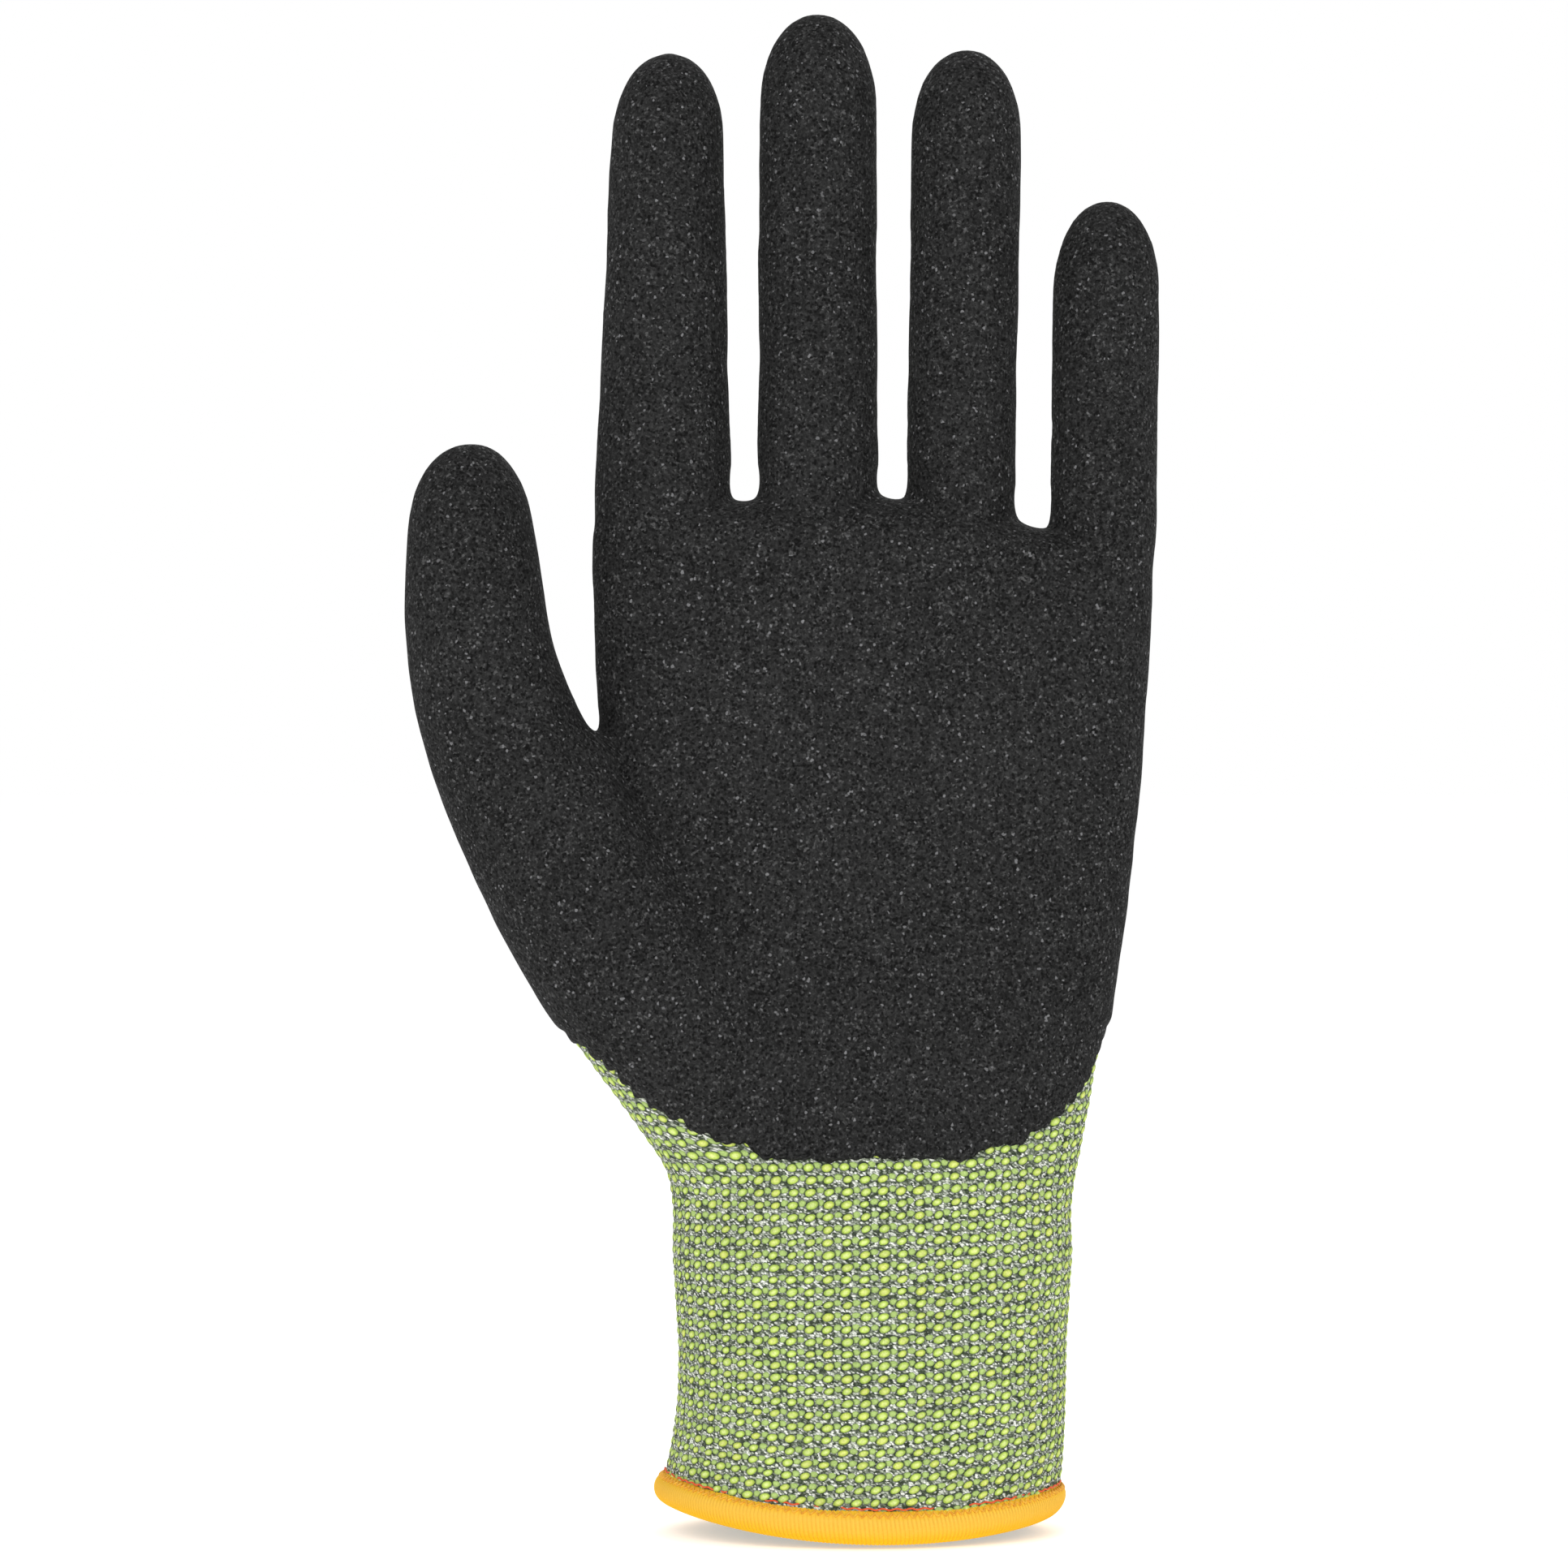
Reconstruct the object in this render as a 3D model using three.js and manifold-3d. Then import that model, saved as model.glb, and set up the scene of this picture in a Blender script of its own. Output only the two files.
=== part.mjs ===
// A left-hand cut-resistant work glove, filled out as a hand fills it, palm towards -Y and fingers
// towards +Z. A seamless knitted liner carries a rubbery coating on its palm side; the knit shows
// bare at the cuff, which ends in an overlocked hem. The liner and its coating are divided where the
// glove bends: at the wrist, at three places along each finger and at two along the thumb.
// Millimetres. The origin is the middle of the cuff opening, level with the lowest point of the hem.

import * as THREE from 'three';
import { mergeVertices } from 'three/addons/utils/BufferGeometryUtils.js';
import Module from 'manifold-3d';

const wasm = await Module();
wasm.setup();

// ---- Driving dimensions ----

const LINER_WALL = 1.6; // knitted fabric
const COATING_THICKNESS = 0.9;
const SKIN_GAP = 0.3; // clearance between two layers that touch
const JOINT_GAP = 0.4; // clearance between two sections that bend against each other

const CUFF_HALF_WIDTH = 32;
const CUFF_HALF_DEPTH = 23;
const CUFF_LENGTH = 51; // hem to the narrow of the wrist
const CUFF_WIDENING_START = 30; // height where the cuff starts to change to the wrist's sizes
const HEM_FLARE = 0.7; // how far the cuff widens at the hem
const HEM_SHIFT = 2.6; // how far the cuff leans to the thumb side at the hem
const HEM_FLARE_HEIGHT = 26;
const HEM_RISE = 3.4; // how much higher the hem runs half a width out from its lowest point
const HEM_LOWEST = 0.17; // where the hem is lowest, as a share of the half width
const HEM_HEIGHT = 6;
const HEM_WRAP = 1; // overlock thread on each face of the knit
const HEM_BULGE = 0.5;

const ELASTIC_DIAMETER = 0.8;
const ELASTIC_TURNS = 4;
const ELASTIC_LOW = 12;
const ELASTIC_HIGH = 36;
const ELASTIC_STEPS = 20; // per turn
const ELASTIC_SIDES = 3;

const WRIST_HALF_WIDTH = 33.2;
const WRIST_HALF_DEPTH = 22.4;
const PALM_LENGTH = 114; // narrow of the wrist to the knuckle line
const PALM_HALF_WIDTH = 46.4;
const KNUCKLE_HALF_DEPTH = 11.8;
const PALM_SQUARENESS = 2.7; // 2 is an ellipse
const PALM_SQUARE_FROM = 0.7; // share of the palm's length where it is fully that square
const PALM_SPREAD = 1.85; // how early the palm reaches its full width; 1 is an even widening
const PALM_THINNING = 1.5; // the same for its depth
const WEB_HEIGHT = 5; // knuckle line to the bottom of the finger gaps
const WEB_SLOPE = 0.17; // how the finger gaps fall away to the little finger, per mm
const WEB_SLOPE_START = 3; // place across where they start to fall
const WEB_RUN = 20; // length below the knuckle line over which the palm's rows follow that fall

const KNUCKLE_HEIGHT = CUFF_LENGTH + PALM_LENGTH;

const WRIST_HEIGHT = CUFF_LENGTH - 10; // bending axis of the wrist
const COATING_START = CUFF_LENGTH - 6; // from here the liner steps inwards to make room for the coating
const COATING_RUN_IN = 14;
// The coating's lower edge, thumb side first: place across as a share of the palm's half width, and height
// above the wrist
const COATING_EDGE = [
  [-1.22, 31], [-1.07, 30.2], [-0.925, 25.5], [-0.78, 19.8], [-0.555, 13.8], [-0.4, 11.8], [-0.22, 10.8],
  [-0.02, 10.5], [0.17, 10.8], [0.41, 12.4], [0.57, 14.4], [0.68, 17.4], [0.755, 21.8], [0.8, 26.2],
  [0.83, 31],
];
const COATING_WRAP = 1.5; // how far behind the middle of the side the coating reaches
const TIP_DIP = 9; // length of each fingertip that is coated all round

// across is the middle line's place as a share of the palm's half width, and lean how far it leans out by
// the tip; base, width and depth are half sizes at the palm, the tip and front to back; length and joints
// are heights above the knuckle line
const FINGERS = [
  {
    name: 'index', across: -0.7543, lean: 1.2, base: 11.4, width: 9.3, depth: 9.6,
    length: 78.6, dome: 13, joints: [6, 31, 54],
  },
  {
    name: 'middle', across: -0.194, lean: 0, base: 10, width: 9.8, depth: 9.8,
    length: 85, dome: 14, joints: [7, 34, 59],
  },
  {
    name: 'ring', across: 0.306, lean: 1.3, base: 9.1, width: 9.2, depth: 9.3,
    length: 79.2, dome: 13, joints: [6, 32, 55],
  },
  {
    name: 'little', across: 0.8147, lean: 0.8, base: 8.9, width: 8.9, depth: 8.6,
    length: 54.3, dome: 14, joints: [2.5, 21, 37],
  },
].map((finger) => ({
  ...finger,
  x: finger.across * PALM_HALF_WIDTH,
  tip: KNUCKLE_HEIGHT + finger.length,
  joints: finger.joints.map((height) => KNUCKLE_HEIGHT + height),
}));
const FINGER_ROOT = KNUCKLE_HEIGHT - 25; // the finger tubes run down into the palm to here
const FINGER_CLEARANCE = { index: 3.6, little: 9.3 }; // beside the outermost fingers
const ROOT_NARROWING = 1; // how much narrower a finger tube starts, inside the palm
const FINGER_TRAVEL = [75, 90, 45]; // greatest bend of each finger joint, in degrees

// Walls between neighbouring finger columns: the middle of each gap, and clear of the outermost fingers
const FINGER_LIMITS = [
  FINGERS[0].x - FINGERS[0].base - FINGER_CLEARANCE.index,
  ...FINGERS.slice(1).map(({ x, base }, index) => (x - base + FINGERS[index].x + FINGERS[index].base) / 2),
  FINGERS[3].x + FINGERS[3].base + FINGER_CLEARANCE.little,
];

// Outline of the thumb and the ball of the thumb: height above the wrist, how far the outer and inner edges
// lie out from the palm's side, middle front to back, and half depth
const THUMB_STATIONS = [
  { rise: 7, outer: -16.4, inner: -38.4, y: 0, depth: 15 },
  { rise: 20.3, outer: -3, inner: -36.4, y: -1.5, depth: 16.5 },
  { rise: 33.7, outer: 6.9, inner: -32.4, y: -3, depth: 17 },
  { rise: 53.8, outer: 17.9, inner: -18.4, y: -4.5, depth: 16 },
  { rise: 67.2, outer: 23.8, inner: -9.4, y: -5.2, depth: 14.5 },
  { rise: 80.6, outer: 28.1, inner: 0.2, y: -6, depth: 12.6 },
  { rise: 94, outer: 30.1, inner: 5.8, y: -6.6, depth: 11.4 },
  { rise: 107.4, outer: 30.3, inner: 8.2, y: -7, depth: 10.6 },
  { rise: 113.6, outer: 29.9, inner: 9.2, y: -7.2, depth: 10.2 },
].map(({ rise, outer, inner, y, depth }) => ({
  z: CUFF_LENGTH + rise,
  left: -PALM_HALF_WIDTH - outer,
  right: -PALM_HALF_WIDTH - inner,
  y,
  depth,
}));
const THUMB_TIP = CUFF_LENGTH + 127.6;
const THUMB_SQUARENESS = 2.2;
const THUMB_FOLD = {
  low: { x: 2.9 - PALM_HALF_WIDTH, z: CUFF_LENGTH + 19 },
  high: { x: -0.2 - PALM_HALF_WIDTH, z: CUFF_LENGTH + 82 },
  y: -4.5,
  depth: 15.5,
};
const THUMB_JOINT = {
  x: -PALM_HALF_WIDTH - 19, y: -6.9, z: CUFF_LENGTH + 101, halfWidth: 11.7, halfDepth: 11,
};
const THUMB_TRAVEL = { fold: 35, tip: 60 };
const WRIST_TRAVEL = 45;

const CUFF_LEVELS = [10, 20, 40];
const PALM_LEVELS = [0, 0.12, 0.26, 0.45, 0.68, 0.88]; // as shares of the palm's length
const PALM_SIDES = 22;
const FINGER_SIDES = 10;
const THUMB_SIDES = 12;
const DOME_STEPS = 3;
const BALL_RINGS = 6;
const EDGE_STEPS = 40;
const FACET_DEPTH = 0.3; // how far a flat of a round end may lie inside its true radius
const BELOW = -10; // reaches past the hem
const FAR = 200; // reaches past the whole glove

const radians = THREE.MathUtils.degToRad;
const smooth = (low, high, value) => THREE.MathUtils.smoothstep(value, low, high);

// ---- Solids ----

// A closed geometry as a solid that can be joined and cut
function toSolid(geometry) {
  geometry.deleteAttribute('normal');
  geometry.deleteAttribute('uv');
  const merged = mergeVertices(geometry, 1e-4);
  const corners = merged.index.array;
  const triangles = [];
  for (let i = 0; i < corners.length; i += 3) {
    const [a, b, c] = corners.slice(i, i + 3);
    if (a !== b && b !== c && c !== a) triangles.push(a, b, c);
  }
  const vertProperties = new Float32Array(merged.getAttribute('position').array);
  const triVerts = new Uint32Array(triangles);
  return new wasm.Manifold(new wasm.Mesh({ numProp: 3, vertProperties, triVerts }));
}

function toGeometry(solid) {
  const { vertProperties, triVerts } = solid.getMesh();
  const geometry = new THREE.BufferGeometry();
  geometry.setAttribute('position', new THREE.BufferAttribute(vertProperties, 3));
  geometry.setIndex(new THREE.BufferAttribute(triVerts, 1));
  geometry.computeVertexNormals();
  return geometry;
}

const join = (solids) => solids.reduce((whole, solid) => whole.add(solid));
const cut = (solid, tools) => tools.reduce((rest, tool) => rest.subtract(tool), solid);

function block(low, high) {
  const size = new THREE.Vector3().subVectors(high, low);
  const middle = new THREE.Vector3().addVectors(low, high).divideScalar(2);
  return toSolid(new THREE.BoxGeometry(size.x, size.y, size.z).translate(middle.x, middle.y, middle.z));
}

// Sides of a round end that keep its flats close to the circle
const roundSides = (radius) => 2 * Math.ceil(Math.PI / Math.acos(1 - FACET_DEPTH / radius) / 2);

// An ellipsoid, round about the X axis, that one section turns inside of
function ball(centre, halfWidth, radius) {
  const sides = roundSides(radius);
  const geometry = new THREE.SphereGeometry(1, sides, BALL_RINGS).rotateZ(Math.PI / 2);
  geometry.scale(halfWidth, radius, radius);
  return toSolid(geometry.translate(centre.x, centre.y, centre.z));
}

// A solid lofted through level cross-sections. Each level has a height and how full its section is,
// 0 on the middle line and 1 at the wall; section(height) gives the middle and half sizes there.
function loft(levels, section, sides) {
  const profile = levels.map(({ z, fill }) => new THREE.Vector2(fill, z));
  const geometry = new THREE.LatheGeometry(profile, sides);
  const position = geometry.getAttribute('position');
  for (let i = 0; i < position.count; i += 1) {
    const across = position.getX(i);
    const along = position.getZ(i);
    const fill = Math.hypot(across, along);
    const angle = Math.atan2(across, along);
    const { x, y, halfWidth, halfDepth, squareness = 2, lift = () => 0 } = section(position.getY(i));
    const round = (share) => Math.sign(share) * Math.abs(share) ** (2 / squareness);
    const sideways = fill * halfWidth * round(Math.sin(angle));
    const forwards = fill * halfDepth * round(Math.cos(angle));
    position.setXYZ(i, x + sideways, y - forwards, position.getY(i) + lift(x + sideways, Math.sin(angle)));
  }
  return toSolid(geometry);
}

// Levels of a tube with a flat lower end and a domed upper end
function domedLevels(heights, top, steps) {
  const start = heights[heights.length - 1];
  const levels = [{ z: heights[0], fill: 0 }, ...heights.map((z) => ({ z, fill: 1 }))];
  for (let step = 1; step <= steps; step += 1) {
    const turn = (step / steps) * (Math.PI / 2);
    levels.push({ z: start + (top - start) * Math.sin(turn), fill: step === steps ? 0 : Math.cos(turn) });
  }
  return levels;
}

// ---- The outline of the glove; inset moves the wall inwards ----

function palmSection(inset) {
  return (height) => {
    const rise = THREE.MathUtils.clamp((height - CUFF_LENGTH) / PALM_LENGTH, 0, 1);
    const flare = Math.max(0, 1 - height / HEM_FLARE_HEIGHT) ** 2;
    const change = smooth(CUFF_WIDENING_START, CUFF_LENGTH, height);
    const cuffWidth = THREE.MathUtils.lerp(CUFF_HALF_WIDTH, WRIST_HALF_WIDTH, change);
    const cuffDepth = THREE.MathUtils.lerp(CUFF_HALF_DEPTH, WRIST_HALF_DEPTH, change);
    const widening = (PALM_HALF_WIDTH - WRIST_HALF_WIDTH) * (1 - (1 - rise) ** PALM_SPREAD);
    const thinning = (WRIST_HALF_DEPTH - KNUCKLE_HALF_DEPTH) * (1 - (1 - rise) ** PALM_THINNING);
    const curl = HEM_RISE * Math.max(0, 1 - height / CUFF_LENGTH) ** 2;
    const webbing = WEB_SLOPE * smooth(KNUCKLE_HEIGHT - WEB_RUN, KNUCKLE_HEIGHT, height);
    return {
      x: -HEM_SHIFT * flare,
      y: 0,
      halfWidth: cuffWidth + widening + HEM_FLARE * flare - inset(height),
      halfDepth: cuffDepth - thinning + 0.5 * HEM_FLARE * flare - inset(height),
      squareness: 2 + (PALM_SQUARENESS - 2) * smooth(0, PALM_SQUARE_FROM, rise),
      lift: (x, side) => curl * (side - HEM_LOWEST) ** 2 - webbing * Math.max(0, x - WEB_SLOPE_START),
    };
  };
}

function palmBody(inset, foot) {
  const top = KNUCKLE_HEIGHT + WEB_HEIGHT - inset(KNUCKLE_HEIGHT);
  const cuffHeights = [foot, ...CUFF_LEVELS];
  const palmHeights = PALM_LEVELS.map((share) => CUFF_LENGTH + share * PALM_LENGTH);
  return loft(domedLevels([...cuffHeights, ...palmHeights], top, DOME_STEPS), palmSection(inset), PALM_SIDES);
}

// Middle line and half width of a finger: as wide as its base up to the knuckle joint, then tapering
function fingerOutline(finger, height) {
  const straight = finger.tip - finger.dome;
  const [knuckle] = finger.joints;
  const taper = THREE.MathUtils.clamp((height - knuckle) / (straight - knuckle), 0, 1);
  const sunk = THREE.MathUtils.clamp((knuckle - height) / (knuckle - FINGER_ROOT), 0, 1);
  return {
    x: finger.x + (finger.lean * (height - FINGER_ROOT)) / (straight - FINGER_ROOT),
    halfWidth: THREE.MathUtils.lerp(finger.base, finger.width, taper) - ROOT_NARROWING * sunk,
  };
}

function fingerBody(finger, inset) {
  const section = (height) => {
    const { x, halfWidth } = fingerOutline(finger, height);
    return { x, y: 0, halfWidth: halfWidth - inset, halfDepth: finger.depth - inset };
  };
  const heights = [FINGER_ROOT, finger.joints[0], finger.tip - finger.dome];
  return loft(domedLevels(heights, finger.tip - inset, DOME_STEPS), section, FINGER_SIDES);
}

function thumbBody(inset) {
  const heights = THUMB_STATIONS.map(({ z }) => z);
  const sizes = THUMB_STATIONS.flatMap(({ left, right, y, depth }) => [left, right, y, depth]);
  const outline = new THREE.CubicInterpolant(heights, sizes, 4);
  const section = (height) => {
    const [left, right, y, depth] = outline.evaluate(Math.min(height, heights[heights.length - 1]));
    return {
      x: (left + right) / 2,
      y,
      halfWidth: (right - left) / 2 - inset,
      halfDepth: depth - inset,
      squareness: THUMB_SQUARENESS,
    };
  };
  return loft(domedLevels(heights, THUMB_TIP - inset, DOME_STEPS), section, THUMB_SIDES);
}

// Share of the step inwards that makes room for the coating
const stepIn = (height) => smooth(COATING_START, COATING_START + COATING_RUN_IN, height);

// The whole glove, thumb and fingers included, with its wall moved inwards
function gloveBody(inset, foot) {
  const fingers = FINGERS.map((finger) => fingerBody(finger, inset));
  return join([palmBody((height) => inset * stepIn(height), foot), thumbBody(inset), ...fingers]);
}

const LINER_INSET = COATING_THICKNESS + SKIN_GAP;
const HEM_FLOOR = HEM_WRAP;
const LINER_FOOT = HEM_FLOOR + SKIN_GAP;

// The knit: outer skin less the room for the hand, which opens at the cuff
function linerShell() {
  const outside = gloveBody(LINER_INSET, LINER_FOOT);
  const hand = join([
    palmBody((height) => LINER_WALL + LINER_INSET * stepIn(height), BELOW),
    thumbBody(LINER_INSET + LINER_WALL),
    ...FINGERS.map((finger) => fingerBody(finger, LINER_INSET + LINER_WALL)),
  ]);
  return outside.subtract(hand);
}

// Everything on the palm side of the glove above the coating's lower edge
function coatedSide() {
  const across = ([share, rise]) => new THREE.Vector2(share * PALM_HALF_WIDTH, CUFF_LENGTH + rise);
  const edge = new THREE.SplineCurve(COATING_EDGE.map(across)).getPoints(EDGE_STEPS);
  const [first] = edge;
  const last = edge[edge.length - 1];
  const outline = new THREE.Shape([
    new THREE.Vector2(-FAR, first.y),
    ...edge,
    new THREE.Vector2(FAR, last.y),
    new THREE.Vector2(FAR, 2 * FAR),
    new THREE.Vector2(-FAR, 2 * FAR),
  ]);
  const slab = new THREE.ExtrudeGeometry(outline, { depth: FAR, bevelEnabled: false });
  return toSolid(slab.rotateX(Math.PI / 2).translate(0, COATING_WRAP, 0));
}

// The coating: a film over the palm side that ends above the cuff and wraps each fingertip
function coatingShell() {
  const film = gloveBody(0, 0).subtract(gloveBody(COATING_THICKNESS, BELOW));
  const tips = FINGERS.map(({ tip }, index) => block(
    new THREE.Vector3(FINGER_LIMITS[index], -FAR, tip - TIP_DIP),
    new THREE.Vector3(FINGER_LIMITS[index + 1], FAR, tip + TIP_DIP),
  ));
  tips.push(block(
    new THREE.Vector3(-FAR, -FAR, THUMB_TIP - TIP_DIP),
    new THREE.Vector3(FINGER_LIMITS[0], FAR, THUMB_TIP + TIP_DIP),
  ));
  return film.intersect(join([coatedSide(), ...tips]));
}

// ---- Where the glove bends ----

// Reach of the round end that a section bends inside of: the wall clears itself over the whole travel
const bendRadius = (halfDepth, travel) => (halfDepth + JOINT_GAP) / Math.cos(radians(travel / 2));

// Everything past a joint with its axis along X: the column above (or below) it and a round end
function bendRegion({ centre, halfWidth, radius, left, right, down = false }, gap) {
  const far = down ? -FAR : FAR * 2;
  const near = centre.z - (down ? -gap : gap);
  const column = block(
    new THREE.Vector3(left - gap, -FAR, Math.min(near, far)),
    new THREE.Vector3(right + gap, FAR, Math.max(near, far)),
  );
  const sides = block(
    new THREE.Vector3(left - gap, -FAR, -FAR),
    new THREE.Vector3(right + gap, FAR, FAR * 2),
  );
  return column.add(ball(centre, halfWidth + gap, radius + gap).intersect(sides));
}

function fingerJoint(finger, index, level) {
  const height = finger.joints[level];
  const { x, halfWidth } = fingerOutline(finger, height);
  return {
    centre: new THREE.Vector3(x, 0, height),
    halfWidth: halfWidth + 2 * JOINT_GAP,
    radius: bendRadius(finger.depth, FINGER_TRAVEL[level]),
    left: FINGER_LIMITS[index] + JOINT_GAP / 2,
    right: FINGER_LIMITS[index + 1] - JOINT_GAP / 2,
  };
}

const THUMB_TIP_JOINT = {
  centre: new THREE.Vector3(THUMB_JOINT.x, THUMB_JOINT.y, THUMB_JOINT.z),
  halfWidth: THUMB_JOINT.halfWidth + 2 * JOINT_GAP,
  radius: bendRadius(THUMB_JOINT.halfDepth, THUMB_TRAVEL.tip),
  left: -FAR,
  right: THUMB_FOLD.high.x - JOINT_GAP / 2,
};

const WRIST_JOINT = {
  centre: new THREE.Vector3(0, 0, WRIST_HEIGHT),
  halfWidth: WRIST_HALF_WIDTH + 2 * JOINT_GAP,
  radius: bendRadius(CUFF_HALF_DEPTH, WRIST_TRAVEL),
  left: -FAR,
  right: FAR,
  down: true,
};

// Everything on the thumb's side of its fold, with a round end about the fold line
function thumbRegion(gap) {
  const { low, high, y, depth } = THUMB_FOLD;
  const foldLow = new THREE.Vector3(low.x, y, low.z);
  const foldHigh = new THREE.Vector3(high.x, y, high.z);
  const length = foldLow.distanceTo(foldHigh);
  const middle = new THREE.Vector3().addVectors(foldLow, foldHigh).divideScalar(2);
  const lean = Math.atan2(high.x - low.x, high.z - low.z);
  const radius = bendRadius(depth, THUMB_TRAVEL.fold) + gap;
  const barrel = new THREE.CylinderGeometry(radius, radius, length + 2 * gap, roundSides(radius));
  const side = new THREE.BoxGeometry(FAR, FAR, 2 * FAR).translate(gap - FAR / 2, 0, 0);
  const placed = (shape) => toSolid(shape.rotateY(lean).translate(middle.x, middle.y, middle.z));
  return join([placed(barrel.rotateX(Math.PI / 2)), placed(side)]);
}

// ---- Trim of the cuff ----

// The overlocked hem: thread wrapped over the cut edge of the knit, as a channel that holds it
function hemShell() {
  const outer = (grow) => (height) => {
    const bulge = Math.sin(Math.PI * THREE.MathUtils.clamp(height / HEM_HEIGHT, 0, 1)) ** 0.5;
    return palmSection(() => -grow * bulge - SKIN_GAP)(height);
  };
  const heights = [0, 0.25, 0.75, 1].map((share) => share * HEM_HEIGHT);
  const closed = (levels) => [{ z: levels[0], fill: 0 }, ...levels.map((z) => ({ z, fill: 1 })),
    { z: levels[levels.length - 1], fill: 0 }];
  const roll = loft(closed(heights), outer(HEM_WRAP + HEM_BULGE), PALM_SIDES);
  const through = palmSection(() => LINER_WALL + SKIN_GAP + HEM_WRAP);
  const bore = loft(closed([BELOW, 0, 2 * CUFF_LEVELS[0]]), through, PALM_SIDES);
  const knitOutside = palmSection(() => -SKIN_GAP);
  const knitInside = palmSection(() => LINER_WALL + SKIN_GAP);
  const slotLevels = closed([HEM_FLOOR, CUFF_LEVELS[0]]);
  const slot = loft(slotLevels, knitOutside, PALM_SIDES).subtract(loft(slotLevels, knitInside, PALM_SIDES));
  return cut(roll, [bore, slot]);
}

// Elastic yarn laid round the inside of the cuff in a flat spiral that keeps it tight to the wrist
class ElasticPath extends THREE.Curve {
  getPoint(share) {
    const height = THREE.MathUtils.lerp(ELASTIC_LOW, ELASTIC_HIGH, share);
    const turn = share * ELASTIC_TURNS * 2 * Math.PI;
    const inset = LINER_WALL + SKIN_GAP + ELASTIC_DIAMETER / 2;
    const { x, halfWidth, halfDepth, lift } = palmSection(() => inset)(height);
    const side = Math.cos(turn);
    return new THREE.Vector3(
      x + halfWidth * side,
      halfDepth * Math.sin(turn),
      height + lift(x + halfWidth * side, side),
    );
  }
}

function elasticGeometry() {
  const section = new THREE.Shape().absarc(0, 0, ELASTIC_DIAMETER / 2, 0, 2 * Math.PI);
  return new THREE.ExtrudeGeometry(section, {
    extrudePath: new ElasticPath(),
    steps: ELASTIC_TURNS * ELASTIC_STEPS,
    curveSegments: ELASTIC_SIDES,
    bevelEnabled: false,
  });
}

// ---- Materials ----

const matt = (color, roughness) => () => (
  new THREE.MeshStandardMaterial({ color, roughness, metalness: 0 })
);
const knitFabric = matt(0xb9cf6a, 0.9);
const rubberCoating = matt(0x2a2b2d, 0.85);
const hemThread = matt(0xffb428, 0.7);
const elasticThread = matt(0xe8e6dc, 0.6);

// ---- The assembly ----

const glove = new THREE.Group();

function addPiece(name, geometry, material) {
  const piece = new THREE.Mesh(geometry, material);
  piece.name = name;
  glove.add(piece);
}

const layers = [
  { suffix: 'liner', shell: linerShell(), material: knitFabric },
  { suffix: 'coating', shell: coatingShell(), material: rubberCoating },
];

function addSection(name, inside, outside) {
  for (const { suffix, shell, material } of layers) {
    const piece = cut(inside ? shell.intersect(inside) : shell, outside);
    if (piece.numTri() > 0) addPiece(`${name}_${suffix}`, toGeometry(piece), material());
  }
}

const fingerJoints = FINGERS.map((finger, index) => (
  finger.joints.map((_, level) => fingerJoint(finger, index, level))
));

addSection('palm', null, [
  bendRegion(WRIST_JOINT, JOINT_GAP),
  thumbRegion(JOINT_GAP),
  ...fingerJoints.map(([knuckle]) => bendRegion(knuckle, JOINT_GAP)),
]);
addSection('cuff', bendRegion(WRIST_JOINT, 0), []);
addSection('thumb_base', thumbRegion(0), [bendRegion(THUMB_TIP_JOINT, JOINT_GAP)]);
addSection('thumb_tip', bendRegion(THUMB_TIP_JOINT, 0), []);
FINGERS.forEach(({ name }, index) => {
  const [knuckle, middle, tip] = fingerJoints[index];
  addSection(`${name}_base`, bendRegion(knuckle, 0), [bendRegion(middle, JOINT_GAP)]);
  addSection(`${name}_middle`, bendRegion(middle, 0), [bendRegion(tip, JOINT_GAP)]);
  addSection(`${name}_tip`, bendRegion(tip, 0), []);
});
addPiece('overlock_hem', toGeometry(hemShell()), hemThread());
addPiece('wrist_elastic_yarn', elasticGeometry(), elasticThread());

export default glove;
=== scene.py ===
"""A left-hand cut-resistant work glove, filled out as a hand fills it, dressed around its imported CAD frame.

The knitted liner, the sandy rubber coating on its palm side, the overlocked hem and the elastic
yarn inside the cuff are each built here as their own pieces. Sizes are in millimetres until a
piece is finished, when its mesh is brought to metres.
"""

from __future__ import annotations

import logging
import math
from collections.abc import Callable, Iterable
from dataclasses import dataclass, field
from enum import Enum

import bmesh
import bpy
import numpy as np
from mathutils import Matrix, Vector, noise

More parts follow.
